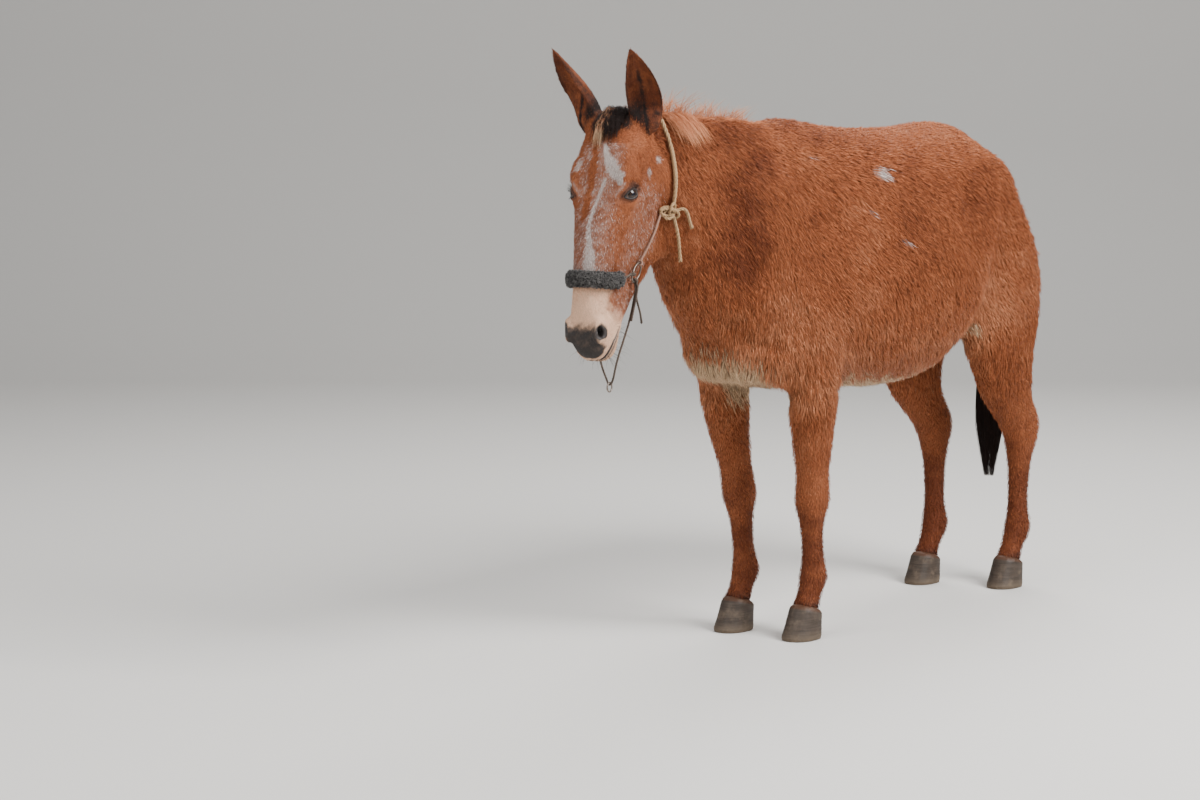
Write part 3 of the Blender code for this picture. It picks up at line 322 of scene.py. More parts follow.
class Value:
    """A socket, or a number, in sums that add their Math nodes."""

    def __init__(self, shader, socket):
        self.shader = shader
        self.socket = socket

    def math(self, operation, *others, clamp=False):
        inputs = {i: other for i, other in enumerate((self,) + others)}
        return self.shader.add("ShaderNodeMath", inputs, operation=operation, use_clamp=clamp)

    def __add__(self, other):
        return self.math("ADD", other)

    def __radd__(self, other):
        return self + other

    def __sub__(self, other):
        return self.math("SUBTRACT", other)

    def __rsub__(self, other):
        return self * -1 + other

    def __mul__(self, other):
        return self.math("MULTIPLY", other)

    def __rmul__(self, other):
        return self * other

    def __truediv__(self, other):
        return self.math("DIVIDE", other)

    def clamped(self):
        return self.math("ADD", 0.0, clamp=True)

    def eased(self, low, high):
        """0 at low, 1 at high, eased in between. Low may be the greater."""
        inputs = {0: self, 1: low, 2: high}
        return self.shader.add("ShaderNodeMapRange", inputs, interpolation_type="SMOOTHSTEP")


class Shader:
    """A material's nodes, with the coordinates that the mule's markings are drawn in."""

    def __init__(self, name):
        self.material = bpy.data.materials.new(name)
        self.material.use_nodes = True
        self.tree = self.material.node_tree
        self.surface = self.tree.nodes["Principled BSDF"]
        self.place = self.add("ShaderNodeTexCoord", output="Object")
        self.z = self.add("ShaderNodeSeparateXYZ", {0: self.place}, output=2)

    def add(self, kind, inputs=None, output=0, **settings):
        """Adds a node with its settings, then its sockets' values or links."""
        node = self.tree.nodes.new(kind)
        for name, setting in settings.items():
            setattr(node, name, setting)
        for key, value in (inputs or {}).items():
            self.feed(node.inputs[key], value)
        return Value(self, node.outputs[output])

    def feed(self, socket, value):
        """Links a value to a socket, or sets it there. A colour without its alpha gets it."""
        if isinstance(value, Value):
            self.tree.links.new(value.socket, socket)
        elif socket.type == "RGBA":
            socket.default_value = (*value, 1.0)
        else:
            socket.default_value = value

    def vector(self, operation, one, other, output=0):
        return self.add("ShaderNodeVectorMath", {0: one, 1: other}, output, operation=operation)

    def noise(self, scale, detail, roughness, place=None):
        inputs = {"Vector": place or self.place, "Scale": scale, "Detail": detail, "Roughness": roughness}
        return self.add("ShaderNodeTexNoise", inputs)

    def stretched(self, scale):
        return self.vector("MULTIPLY", self.place, scale)

    def attribute(self, name):
        return self.add("ShaderNodeAttribute", output="Fac", attribute_name=name)

    def mix(self, share, one, other):
        """A colour between two, each a colour or a link."""
        return self.add("ShaderNodeMix", {0: share, 6: one, 7: other}, 2, data_type="RGBA")

    def shaded(self, colour, amount):
        """A colour made lighter or darker by a value."""
        grey = self.add("ShaderNodeCombineXYZ", {0: amount, 1: amount, 2: amount})
        return self.vector("MULTIPLY", colour, grey)

    def set(self, **inputs):
        for key, value in inputs.items():
            self.feed(self.surface.inputs[key.replace("_", " ")], value)

    def bump(self, height, strength, distance):
        inputs = {"Height": height, "Strength": strength, "Distance": distance}
        self.set(Normal=self.add("ShaderNodeBump", inputs))


# Markings and painted shade. The skin and every piece of the coat carry them, as shares of the coat's
# colours.

# The trunk's lowest line: x and height
BELLY_X = (-0.500, -0.440, -0.400, -0.340, -0.270, -0.010, 0.310, 0.450, 0.570, 0.690)
BELLY_Z = (0.815, 0.805, 0.785, 0.768, 0.752, 0.735, 0.716, 0.742, 0.800, 0.880)
# Bands of the face in the head's frame: down, left and half width at each bend
STAR = ((0.080, 0.002, 0.005), (0.112, 0.014, 0.013), (0.140, 0.034, 0.024), (0.165, 0.056, 0.022),
        (0.188, 0.066, 0.010))
STREAK = ((0.180, 0.018, 0.007), (0.268, -0.002, 0.006), (0.303, -0.008, 0.007), (0.368, 0.004, 0.011),
          (0.400, 0.008, 0.021), (0.455, 0.012, 0.030))
RED_BAND = ((0.090, -0.024, 0.010), (0.140, -0.022, 0.014), (0.183, -0.024, 0.012), (0.290, -0.030, 0.010))
BROW_SPOT = ((0.128, -0.068, 0.010), (0.150, -0.074, 0.012))
# Pale spots behind the eye, in the head's frame, and on the shoulder: place, radius and strength
FACE_SPOTS = (((0.086, 0.099, -0.148), 0.014, 0.55), ((0.135, 0.099, -0.102), 0.016, 0.60),
              ((0.150, -0.099, -0.110), 0.013, 0.50))
BODY_SPOTS = (((0.082, -0.192, 1.391), 0.026, 0.95), ((0.091, -0.290, 1.175), 0.014, 0.95),
              ((-0.153, -0.114, 1.439), 0.015, 0.70), ((-0.240, -0.166, 1.325), 0.010, 0.50),
              ((-0.011, -0.235, 1.270), 0.012, 0.60), ((0.060, 0.200, 1.380), 0.020, 0.50))
# Where rubbed, mottled hair lies behind the withers
SADDLE = ((-0.200, -0.060, 1.545), (0.030, -0.080, 1.500), (0.139, -0.151, 1.449))
FLANK_FOLD = ((0.500, -0.215, 0.842), (0.560, -0.200, 0.862), (0.600, -0.180, 0.882))


def band(u, v, line, noise):
    """1 inside a band that follows a line of the face, 0 outside."""
    best = np.zeros(len(u))
    for (u1, v1, w1), (u2, v2, w2) in zip(line[:-1], line[1:]):
        du, dv = u2 - u1, v2 - v1
        t = np.clip(((u - u1) * du + (v - v1) * dv) / (du * du + dv * dv), 0, 1)
        away = np.hypot(u - u1 - t * du, v - v1 - t * dv) / (w1 + (w2 - w1) * t)
        best = np.maximum(best, smooth_share(1.35, 0.45, away + noise))
    return best


def mirrored(path, side):
    """A path given on the left side, on either side."""
    return [(x, -y * side, z) for x, y, z in path]


def face_marks(points, noise):
    """The white, cream, dark and grey places of the head."""
    head = in_head(points)
    u, v, w = head.T
    wide = np.abs(v)
    front = smooth_share(-0.075, -0.030, w) * smooth_share(0.055, 0.090, u) * smooth_share(0.49, 0.45, u)
    ragged = noise * 0.30
    roan = front * smooth_share(0.100, 0.030, wide) * (0.34 + 0.10 * noise)
    roan *= 1 - 0.85 * band(u, v, RED_BAND, ragged)
    cheek = (0.24 + 0.08 * noise) * smooth_share(-0.02, -0.08, w) * smooth_share(-0.24, -0.17, w)
    cheek *= smooth_share(0.10, 0.20, u)
    white = np.maximum(roan, cheek)
    for line, strength in ((STAR, 0.86), (STREAK, 0.78)):
        white = np.maximum(white, strength * front * band(u, v, line, ragged))
    white = np.maximum(white, 0.6 * band(u, v, BROW_SPOT, ragged) * smooth_share(-0.06, -0.02, w))
    for place, radius, strength in FACE_SPOTS:
        away = np.linalg.norm(head - place, axis=1) / radius + ragged
        white = np.maximum(white, strength * smooth_share(1.4, 0.3, away))
    start = 0.450 + 0.012 * noise
    side_red = smooth_share(-0.026, -0.068, w + 0.008 * noise)
    side_red *= smooth_share(0.580, 0.500, u + 0.012 * noise)
    cream = smooth_share(start, start + 0.020, u) * (1 - 0.90 * side_red)
    nose = smooth_share(0.568, 0.606, u - 0.25 * (w + 0.02) + 0.005 * noise)
    nose *= smooth_share(-0.100, -0.074, w + 0.004 * noise)
    nose *= smooth_share(0.060, 0.042, wide + 0.004 * noise)
    grey = nose * (0.90 + 0.10 * noise)
    dark = np.zeros(len(u))
    lids = np.zeros(len(u))
    for side in (-1, 1):
        rim = np.linalg.norm((head - NOSTRIL * (1, side, 1)) * (0.75, 1, 1), axis=1)
        grey = np.maximum(grey, smooth_share(0.023, 0.015, rim + 0.003 * noise))
        edge, over, reach = from_lids(points, side)
        near = smooth_share(0.046, 0.040, reach)
        dark = np.maximum(dark, 0.85 * near * smooth_share(0.0060, 0.0030, edge))
        lids = np.maximum(lids, near * smooth_share(0.0170, 0.0080, edge) * np.where(over, 1.0, 0.7))
        white = np.maximum(white, 0.40 * near * over * hump(edge, 0.0185, 0.0045))
    above = w - mouth_height(u)
    muzzle = smooth_share(0.545, 0.575, u)
    grey *= 1 - 0.85 * smooth_share(0.020, 0.013, above + 0.002 * noise) * (above > 0)
    grey = np.maximum(grey, 0.95 * muzzle * smooth_share(0.0060, 0.0030, np.abs(above)))
    white = np.maximum(white, 0.55 * muzzle * hump(above, 0.012, 0.005))
    lip = smooth_share(-0.004, -0.008, above) * smooth_share(-0.026, -0.017, above + 0.002 * noise)
    grey = np.maximum(grey, 0.70 * lip * smooth_share(0.560, 0.600, u))
    grey = np.maximum(grey, 0.62 * lids)
    poll = smooth_share(0.050, 0.020, u) * smooth_share(-0.10, -0.05, w) * smooth_share(0.075, 0.050, wide)
    dark = np.maximum(dark, 0.85 * poll)
    return {"white": white, "cream": cream, "dark": dark, "grey": grey}


def mouth_height(u):
    """How far out of the face the line between the lips lies, down the muzzle."""
    return np.interp(u, (0.545, 0.559, 0.587, 0.612, 0.640, 0.665, 0.690),
                     (-0.134, -0.127, -0.106, -0.094, -0.092, -0.097, -0.101))


def markings_and_shade(points, normals, part):
    """The shares of the coat's colours at places of the animal, with some painted shade. Part gives each
    node's share there.
    """
    x, y, z = points.T
    noise = ripple(points, 0.034, 21)
    fine = ripple(points, 0.014, 22)
    face = face_marks(points, noise * 0.6 + fine * 0.4)
    legs = sum(part[leg] for leg in LEGS)
    ears = sum(part[ear] for ear in EARS)
    head = part["head"]
    wide = np.abs(y)
    left = np.stack([x, -wide, z], 1)
    low = z - np.interp(x, BELLY_X, BELLY_Z)
    inward = smooth_share(0.35, 0.85, -normals[:, 1] * np.sign(y)) * smooth_share(0.25, 0.20, wide)
    light = 0.40 + 0.10 * ripple(points, 0.40, 23) + 0.08 * ripple(points, 0.12, 24)
    light += 0.06 * noise + 0.05 * fine
    light += 0.36 * part["torso"] * smooth_share(0.52, 0.10, low + 0.04 * noise)
    light += 0.10 * part["torso"] * smooth_share(1.30, 1.48, z)
    # The neck is a little darker all over, and darker still where its skin faces down, a painted shade.
    down_facing_shade = smooth_share(0.45, -0.75, normals[:, 2] - 0.4 * normals[:, 0])
    light -= part["neck"] * (0.10 + 0.12 * down_facing_shade)
    light += part["neck"] * 0.45 * smooth_share(1.16, 0.98, z)
    # Painted shade: the coat is darker in the hollow in front of the shoulder.
    ahead = nearest_on_path(left, SHOULDER_HOLLOW)
    light -= 0.20 * smooth_share(0.12, 0.03, ahead)
    light += legs * (0.12 * smooth_share(0.45, 0.65, z) - 0.34 * smooth_share(0.50, 0.28, z))
    light += head * 0.10
    light -= ears * 0.22
    saddle = smooth_share(0.085, 0.030, nearest_on_path(left, SADDLE) + 0.03 * noise) * part["torso"]
    light -= 0.22 * saddle
    arm = smooth_share(0.105, 0.135, wide) * smooth_share(-0.40, -0.36, x) * smooth_share(-0.06, -0.10, x)
    thigh = smooth_share(0.47, 0.53, x) * smooth_share(0.09, 0.12, wide)
    ragged = low + 0.020 * noise + 0.008 * fine
    pale = part["torso"] * smooth_share(0.070, 0.010, ragged) * (1 - arm) * (1 - thigh)
    middle = part["torso"] * smooth_share(0.090, 0.025, ragged) * smooth_share(0.16, 0.08, wide)
    pale = np.maximum(pale, middle * (1 - arm))
    fold = nearest_on_path(left, FLANK_FOLD)
    pale = np.maximum(pale, 0.7 * smooth_share(0.042, 0.010, fold + 0.01 * noise))
    pale = np.maximum(pale, 0.10 * inward * smooth_share(0.40, 0.60, z) * smooth_share(0.95, 0.80, z))
    white = head * face["white"] + 0.05 * saddle
    for place, radius, strength in BODY_SPOTS:
        away = np.linalg.norm(points - np.array(place), axis=1) / radius + 0.3 * noise
        white = np.maximum(white, strength * smooth_share(1.4, 0.3, away))
    dark = np.maximum(head * face["dark"], ear_marks_and_shade(points) * ears)
    dark = np.maximum(dark, 0.55 * legs * smooth_share(0.135, 0.095, z))
    marks = {"light": np.clip(light, 0, 1), "pale": pale, "white": white, "dark": dark}
    marks["cream"] = head * face["cream"]
    marks["grey"] = head * face["grey"]
    return marks


def coat_colour(shader):
    """The coat's colour from the shares that the mesh carries."""
    look = bpy.context.scene.mule_coat
    fine = (shader.noise(140, 2, 0.6) - 0.5) * 0.30
    light = shader.attribute("light") + fine
    coat = shader.mix(light.eased(0.0, 0.5), look.deep_red, look.red)
    coat = shader.mix(light.eased(0.5, 1.0), coat, look.light_red)
    for name, colour in (("pale", look.pale), ("white", look.white), ("cream", look.cream),
                         ("dark", look.dark), ("grey", look.grey)):
        coat = shader.mix((shader.attribute(name) + fine * 0.4).eased(0.05, 0.95), coat, colour)
    return coat


# Skin

FINE_VOXEL = 0.0047
COARSE_VOXEL = 0.0105
HOOF_VOXEL = 0.0038
# How far the solids are swollen so that they merge, and how far each skin stops from the neck's plane
SWELL = 0.0006
SEAM = 0.006
NECK_PLANE = (Vector((-0.625, 0, 1.30)), Vector((-0.997, 0, 0.073)))
LIPS_DOWN = (0.56, 0.575, 0.59, 0.605, 0.62, 0.64, 0.66)
LIPS_ACROSS = (-0.058, -0.045, -0.03, -0.015, 0, 0.015, 0.03, 0.045, 0.058)
# The bare crown and crest under the solids' locks: down the face and out, and x and height
CROWN_U = (-0.080, -0.030, 0.010, 0.065, 0.135)
CROWN_W = (-0.100, -0.056, -0.020, -0.005, 0.002)
CREST_X = (-0.95, -0.77, -0.65, -0.51, -0.37, -0.25)
CREST_Z = (1.555, 1.570, 1.571, 1.562, 1.550, 1.543)


def without_locks(bm, name):
    """Presses the locks of the solid's forelock or mane down to the crown or crest."""
    for v in bm.verts:
        if name == "head":
            down, left, out = in_head([v.co])[0]
            if -0.075 < down < 0.115 and abs(left) < 0.062:
                top = np.interp(down, CROWN_U, CROWN_W) - 0.9 * left * left
                v.co = at_head(down, left, min(out, top))
        elif abs(v.co.y) < 0.050:
            top = np.interp(v.co.x, CREST_X, CREST_Z) - 5.0 * v.co.y**2
            v.co.z = min(v.co.z, top)


def refined(bm, places, reach):
    """Halves the edges that lie near any of the places."""
    points = np.array([v.co for v in bm.verts])
    near = nearest_of(points, places) < reach
    bm.verts.index_update()
    edges = [e for e in bm.edges if near[e.verts[0].index] and near[e.verts[1].index]]
    bmesh.ops.subdivide_edges(bm, edges=edges, cuts=1, use_grid_fill=True)


def skin_mesh():
    """One skin over the whole animal, finest round the eyes, nostrils and lips."""
    fine = remeshed(joined_nodes(("head", "neck") + EARS + EYES, SWELL), FINE_VOXEL)
    coarse = remeshed(joined_nodes(FLESH, SWELL), COARSE_VOXEL)
    point, normal = NECK_PLANE
    cut_open(fine, point + normal * SEAM, -normal)
    cut_open(coarse, point - normal * SEAM, normal)
    largest_piece(fine)
    largest_piece(coarse)
    mesh = bpy.data.meshes.new("join")
    coarse.to_mesh(mesh)
    coarse.free()
    fine.from_mesh(mesh)
    bpy.data.meshes.remove(mesh)
    rims = [e for e in fine.edges if len(e.link_faces) == 1]
    bmesh.ops.bridge_loops(fine, edges=rims)
    bmesh.ops.recalc_face_normals(fine, faces=fine.faces)
    eyes = [at_head(EYE[0], side * EYE[1], EYE[2]) for side in (-1, 1)]
    nostrils = [at_head(NOSTRIL[0], side * NOSTRIL[1], NOSTRIL[2]) for side in (-1, 1)]
    refined(fine, eyes, EYE_REACH)
    refined(fine, eyes, 0.038)
    refined(fine, nostrils, 0.034)
    lips = [at_head(u, v, mouth_height(u)) for u in LIPS_DOWN for v in LIPS_ACROSS]
    refined(fine, lips, 0.014)
    return fine


def region_shares(skin):
    """For each point of the skin, its share of every node of flesh, evened out over the borders."""
    names = FLESH + EARS
    points, faces, owners = [], [], []
    total = 0
    for number, name in enumerate(names):
        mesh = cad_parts[name].data
        mesh.calc_loop_triangles()
        points += [v.co.copy() for v in mesh.vertices]
        faces += [tuple(i + total for i in t.vertices) for t in mesh.loop_triangles]
        owners += [number] * len(mesh.loop_triangles)
        total += len(mesh.vertices)
    tree = BVHTree.FromPolygons(points, faces)
    shares = np.zeros((len(skin.points), len(names)))
    for i, point in enumerate(skin.points):
        shares[i, owners[tree.find_nearest(Vector(point))[2]]] = 1
    shares = skin.spread(shares, 14)
    return {name: shares[:, number] for number, name in enumerate(names)}


# Forms of the body and head that the coat follows, on the left side and mirrored: path, width, height
SHOULDER_HOLLOW = ((-0.528, -0.123, 1.347), (-0.524, -0.157, 1.206), (-0.479, -0.176, 1.119))
BODY_FORMS = (
    (SHOULDER_HOLLOW, 0.040, -0.010),
    (((-0.319, -0.145, 1.376), (-0.284, -0.173, 1.298), (-0.321, -0.202, 1.170), (-0.346, -0.221, 1.053)),
     0.034, 0.006),
    (((-0.218, -0.160, 1.333), (-0.190, -0.200, 1.250)), 0.036, -0.006),
    (((-0.121, -0.168, 1.354), (-0.161, -0.224, 1.193), (-0.161, -0.246, 1.044)), 0.024, -0.006),
    (((-0.110, -0.252, 1.127), (-0.108, -0.258, 1.088), (-0.090, -0.260, 1.014)), 0.022, -0.005),
    (((0.436, -0.273, 1.308), (0.436, -0.300, 1.231), (0.413, -0.316, 1.156)), 0.048, -0.012),
    (((0.324, -0.185, 1.434), (0.365, -0.276, 1.304), (0.489, -0.303, 1.093)), 0.032, 0.005),
    (((0.622, -0.255, 1.255), (0.521, -0.293, 1.116), (0.422, -0.264, 0.890)), 0.030, 0.008),
    (((0.475, -0.216, 1.398),), 0.040, 0.008),
    (((-0.556, -0.091, 0.982), (-0.459, -0.141, 0.904), (-0.398, -0.181, 0.893)), 0.022, -0.008),
    (((0.752, -0.244, 1.084), (0.838, -0.247, 1.006)), 0.026, -0.007),
    (((-0.200, -0.050, 1.560), (0.300, -0.050, 1.500)), 0.022, -0.003),
)
HEAD_FORMS = (
    (((0.265, 0.086, -0.090), (0.330, 0.079, -0.092), (0.400, 0.070, -0.090)), 0.009, 0.0040),
    (((0.262, 0.080, -0.052), (0.340, 0.070, -0.050), (0.430, 0.058, -0.048)), 0.014, -0.0040),
    (((0.290, 0.082, -0.125), (0.400, 0.066, -0.130), (0.500, 0.058, -0.110)), 0.016, -0.0030),
    (((0.110, 0.094, -0.048), (0.128, 0.096, -0.056)), 0.016, -0.0090),
    (((0.163, 0.070, -0.010), (0.185, 0.082, -0.014), (0.215, 0.084, -0.010)), 0.013, 0.0045),
    (((0.075, 0.085, -0.090), (0.085, 0.095, -0.150)), 0.020, -0.0040),
    (((0.170, 0.086, -0.105), (0.205, 0.088, -0.120)), 0.014, 0.0025),
    (((0.245, 0.085, -0.150), (0.275, 0.080, -0.220), (0.250, 0.076, -0.280)), 0.012, -0.0045),
    (((0.300, 0.060, 0.004), (0.400, 0.050, 0.004), (0.500, 0.042, -0.004)), 0.010, -0.0020),
    (((0.520, 0.055, -0.045), (0.545, 0.058, -0.060), (0.560, 0.060, -0.095)), 0.010, -0.0030),
    (((0.268, 0.078, -0.068), (0.330, 0.072, -0.080), (0.430, 0.062, -0.070), (0.500, 0.060, -0.080)),
     0.003, 0.0012),
    (((0.310, 0.077, -0.140), (0.400, 0.066, -0.125), (0.480, 0.060, -0.100)), 0.003, 0.0012),
)
# How far from the eyeball's middle the lids reach, and half the thickness of their edge
EYE_REACH = 0.048
LID_EDGE = 0.0016
# Wrinkles of the lids: distance from the edge, width and depth
WRINKLES = ((0.0085, 0.0013, 0.0026), (0.0125, 0.0012, 0.0014), (0.0165, 0.0013, 0.0010))
EYE_SLIT = math.radians(61)
UPPER_LID = math.radians(30)
LOWER_LID = math.radians(21)


def eye_frame(side):
    """The eyeball's middle, and the ways out, to its inner corner and to its brow."""
    outward = Vector((0.06, 0.93, 0.36)).normalized()
    corner = Vector((0.53, 0.0, 0.85)).normalized()
    corner = (corner - outward * corner.dot(outward)).normalized()
    brow = outward.cross(corner)
    if brow.x > 0:
        brow = -brow
    ways = [HEAD_TURN @ Vector((way.x, way.y * -side, way.z)) for way in (outward, corner, brow)]
    return at_head(EYE[0], -side * EYE[1], EYE[2]), ways


def slit_edges(along):
    """The angles of the upper and lower lid's edges, by the angle towards the inner corner."""
    share = along / EYE_SLIT
    bow = np.clip(1 - np.abs(share) ** 2.1, 0, 1)
    return UPPER_LID * bow * (1 - 0.18 * share), -LOWER_LID * bow * (1 + 0.10 * share)


def from_lids(points, side):
    """Distances from the lids' edges, below 0 in the opening, whether over it, and from the eye's middle."""
    middle, ways = eye_frame(side)
    away = points - np.array(middle)
    reach = np.linalg.norm(away, axis=1)
    out, corner, brow = ((away @ np.array(way)) / reach for way in ways)
    above = np.arcsin(np.clip(brow, -1, 1))
    along = np.arctan2(corner, out)
    steps = np.linspace(-EYE_SLIT, EYE_SLIT, 25)
    upper, lower = slit_edges(steps)
    edge = np.concatenate([np.stack([steps, upper], 1), np.stack([steps, lower], 1)[::-1]])
    distance = nearest_on_path(np.stack([along, above], 1), edge) * EYE_RADIUS
    top, bottom = slit_edges(along)
    inside = (above < top) & (above > bottom) & (np.abs(along) < EYE_SLIT)
    return np.where(inside, -distance, distance), above > (top + bottom) / 2, reach


def sculpt_eyes(skin):
    """Opens the skin over the eyeballs, with lids, creases and wrinkles."""
    skin.lids = np.full(len(skin.points), 1.0)
    for side in SIDES.values():
        middle, ways = eye_frame(side)
        edge, over, reach = from_lids(skin.points, side)
        away = skin.points - np.array(middle)
        facing = away @ np.array(ways[0]) > -0.004
        near = facing & (reach < EYE_REACH)
        skin.lids = np.where(near, np.minimum(skin.lids, edge), skin.lids)
        thick = np.where(over, 0.0036, 0.0028)
        rim = thick * np.sqrt(np.clip(1 - ((edge - LID_EDGE) / LID_EDGE) ** 2, 0, 1))
        lid = np.where(edge > LID_EDGE, thick + 0.0012 * smooth_share(LID_EDGE, 0.006, edge), rim)
        lid = np.where(edge < 0, -0.0050 * smooth_share(0, -0.0012, edge), lid)
        rest = reach - EYE_RADIUS
        height = lid + (rest - lid) * smooth_share(0.007, 0.016, edge)
        for at, width, deep in WRINKLES:
            height -= np.where(over, deep, deep * 0.5) * hump(edge, at, width)
        height += np.where(over, 0.0022, 0.0004) * hump(edge, 0.0225, 0.005)
        fresh = np.array(middle) + away * ((EYE_RADIUS + height) / reach)[:, None]
        share = smooth_share(EYE_REACH, 0.040, reach)[:, None] * near[:, None]
        skin.points = skin.points + (fresh - skin.points) * share
    skin.update()


def sculpt_muzzle(skin):
    """Raises the nostrils' rims and rounds the lips."""
    head = in_head(skin.points)
    u, v, w = head.T
    total = np.zeros(len(u))
    for side in (-1, 1):
        away = (head - NOSTRIL * (1, side, 1)) * (0.60, 1.0, 0.85)
        ring = np.linalg.norm(away, axis=1)
        total += 0.0034 * hump(ring, 0.0165, 0.0045)
        total -= 0.0022 * hump(ring, 0.0270, 0.0055)
    gap = w - mouth_height(u)
    mouth = smooth_share(0.545, 0.565, u)
    total += mouth * (0.0020 * hump(gap, 0.008, 0.005) + 0.0024 * hump(gap, -0.009, 0.006))
    total -= mouth * 0.0045 * hump(gap, 0, 0.0030)
    total -= 0.0018 * hump(v, 0, 0.004) * smooth_share(0.60, 0.63, u) * smooth_share(-0.125, -0.115, w)
    wrinkles = np.sin(u * 900 + 2.5 * ripple(skin.points, 0.02, 61)) * 0.0005
    wrinkles *= smooth_share(0.53, 0.56, u) * smooth_share(0.62, 0.60, u)
    total += wrinkles * smooth_share(-0.10, -0.125, w)
    skin.push(total * skin.shares["head"])


EAR_LENGTH = 0.28
# How far the tips lie ahead of the roots and outwards
EAR_AHEAD = 0.166
EAR_ASIDE = 0.045
EAR_BOW = {-1: 0.006, 1: 0.034}
EAR_OPENING = math.radians(26)
# share of the length, half width, depth of the back and of the cup
EAR = np.array((
    (0.00, 0.036, 0.040, -0.030), (0.10, 0.043, 0.044, -0.026), (0.19, 0.049, 0.048, -0.008),
    (0.28, 0.051, 0.049, 0.020), (0.40, 0.050, 0.046, 0.032), (0.53, 0.046, 0.039, 0.029),
    (0.66, 0.038, 0.030, 0.022), (0.78, 0.028, 0.021, 0.014), (0.88, 0.018, 0.014, 0.008),
    (0.95, 0.010, 0.009, 0.004), (1.00, 0.004, 0.005, 0.001),
))


def ear_frame(side):
    """The ear's root, and the ways along it, out of its mouth, across it and away from the head."""
    root = at_head(-0.005, -side * 0.090, -0.062)
    outward = TO_LEFT * -side
    rise = math.sqrt(EAR_LENGTH**2 - EAR_AHEAD**2 - EAR_ASIDE**2)
    axis = (HEADING * EAR_AHEAD + outward * EAR_ASIDE + UP * rise) / EAR_LENGTH
    facing = HEADING * math.cos(EAR_OPENING) + outward * math.sin(EAR_OPENING)
    facing = (facing - axis * facing.dot(axis)).normalized()
    return root, axis, facing, axis.cross(facing), outward


def ear_place(points, side):
    """Where places lie in an ear: share of its length, across from -1 to 1, and how far inside its cup."""
    root, axis, facing, across, outward = (np.array(way) for way in ear_frame(side))
    away = points - root
    share = (away @ axis + 0.03) / EAR_LENGTH
    width, back, cup = (np.interp(share, EAR[:, 0], EAR[:, k]) for k in (1, 2, 3))
    bow = EAR_BOW[side] * np.sin(math.pi * np.clip(share, 0, 1)) - 0.012 * share**2
    bent = away - outward * bow[:, None] + facing * (bow * 0.6)[:, None]
    aside = (bent @ across) / width
    sine = np.sqrt(np.clip(1 - aside**2, 0, 1))
    within = (bent @ facing) + sine * (back + cup) / 2
    return share, aside, smooth_share(-0.002, 0.004, within)


def ear_marks_and_shade(points):
    """How dark the ears are: at their rims, tips and roots, and in streaks inside, partly painted shade in
    the cups.
    """
    dark = np.zeros(len(points))
    for side in SIDES.values():
        share, aside, within = ear_place(points, side)
        close = (np.abs(aside) < 1.5) & (share > -0.15) & (share < 1.15)
        rim = hump(np.abs(aside), 0.90, 0.10) * 0.62
        tip = 0.35 * smooth_share(0.86, 0.98, share)
        poll = smooth_share(0.108, 0.078, np.abs(in_head(points)[:, 1]))
        root = smooth_share(0.48, 0.16, share) * (0.12 + 0.85 * poll)
        ripples = ripple(points, 0.010, 63) * 0.10 + ripple(points, 0.022, 64) * 0.12
        # Painted shade in part: the whole inside of each cup is darker, most of all low down, with streaks
        # and ripples.
        shade_streaks = within * (0.24 + ripples + 0.10 * np.cos(aside * 11 + 1.0) * smooth_share(0.9, 0.5, share))
        shade_streaks += within * 0.45 * hump(aside, -0.08, 0.13) * smooth_share(0.75, 0.55, share)
        shade_streaks += within * 0.25 * smooth_share(0.35, 0.12, share)
        dark = np.where(close, np.max([rim, tip, root, shade_streaks], axis=0), dark)
    return np.clip(dark, 0, 1)


def sculpt_ears(skin):
    """Deepens the ears' cups and raises the ridges in them."""
    move = np.zeros_like(skin.points)
    for name, side in SIDES.items():
        share, aside, within = ear_place(skin.points, side)
        part = skin.shares["ear_" + name] * within
        part *= smooth_share(1.0, 0.85, share) * smooth_share(0.12, 0.25, share)
        deep = 0.007 * np.clip(1 - aside**2, 0, 1) - 0.0012 * np.cos(aside * 11 + 1.0)
        move -= np.array(ear_frame(side)[2]) * (part * deep)[:, None]
    skin.points = skin.points + move
    skin.update()


def sculpt_forms(skin):
    """Presses hollows and raises ridges over the body and the head."""
    total = np.zeros(len(skin.points))
    head = in_head(skin.points)
    for side in (-1, 1):
        for path, width, height in BODY_FORMS:
            away = nearest_on_path(skin.points, mirrored(path, side))
            total += height * hump(away, 0, width)
        for path, width, height in HEAD_FORMS:
            away = nearest_on_path(head, [(u, -side * v, w) for u, v, w in path])
            total += height * hump(away, 0, width) * skin.shares["head"]
    skin.push(total + leg_grooves(skin))


# Grooves in front of the tendons, as x and height, and how far each leg is set back
FORE_GROOVE = ((-0.148, 0.40), (-0.150, 0.33), (-0.144, 0.26), (-0.138, 0.21))
HIND_GROOVE = ((0.924, 0.66), (0.960, 0.57), (0.950, 0.45), (0.946, 0.38), (0.943, 0.28), (0.946, 0.22))
LEG_SET = {"foreleg_left": 0.0, "foreleg_right": -0.020, "hindleg_left": 0.027, "hindleg_right": -0.074}


def leg_grooves(skin):
    """The grooves in front of the tendons."""
    total = np.zeros(len(skin.points))
    flat = skin.points[:, (0, 2)]
    for leg, set_back in LEG_SET.items():
        groove = FORE_GROOVE if leg.startswith("fore") else HIND_GROOVE
        away = nearest_on_path(flat - (set_back, 0), groove)
        total -= 0.0045 * hump(away, 0, 0.008) * skin.shares[leg]
    return total


# The middle of each coronet, and the slope of the coronets
FEET = {"foreleg_left": (-0.1951, -0.1217), "foreleg_right": (-0.2151, 0.1223),
        "hindleg_left": (0.9009, -0.1297), "hindleg_right": (0.7989, 0.1303)}
HOOF_HEIGHT = 0.088
CORONET_WAY = np.array((math.sin(math.radians(13)), 0, math.cos(math.radians(13))))

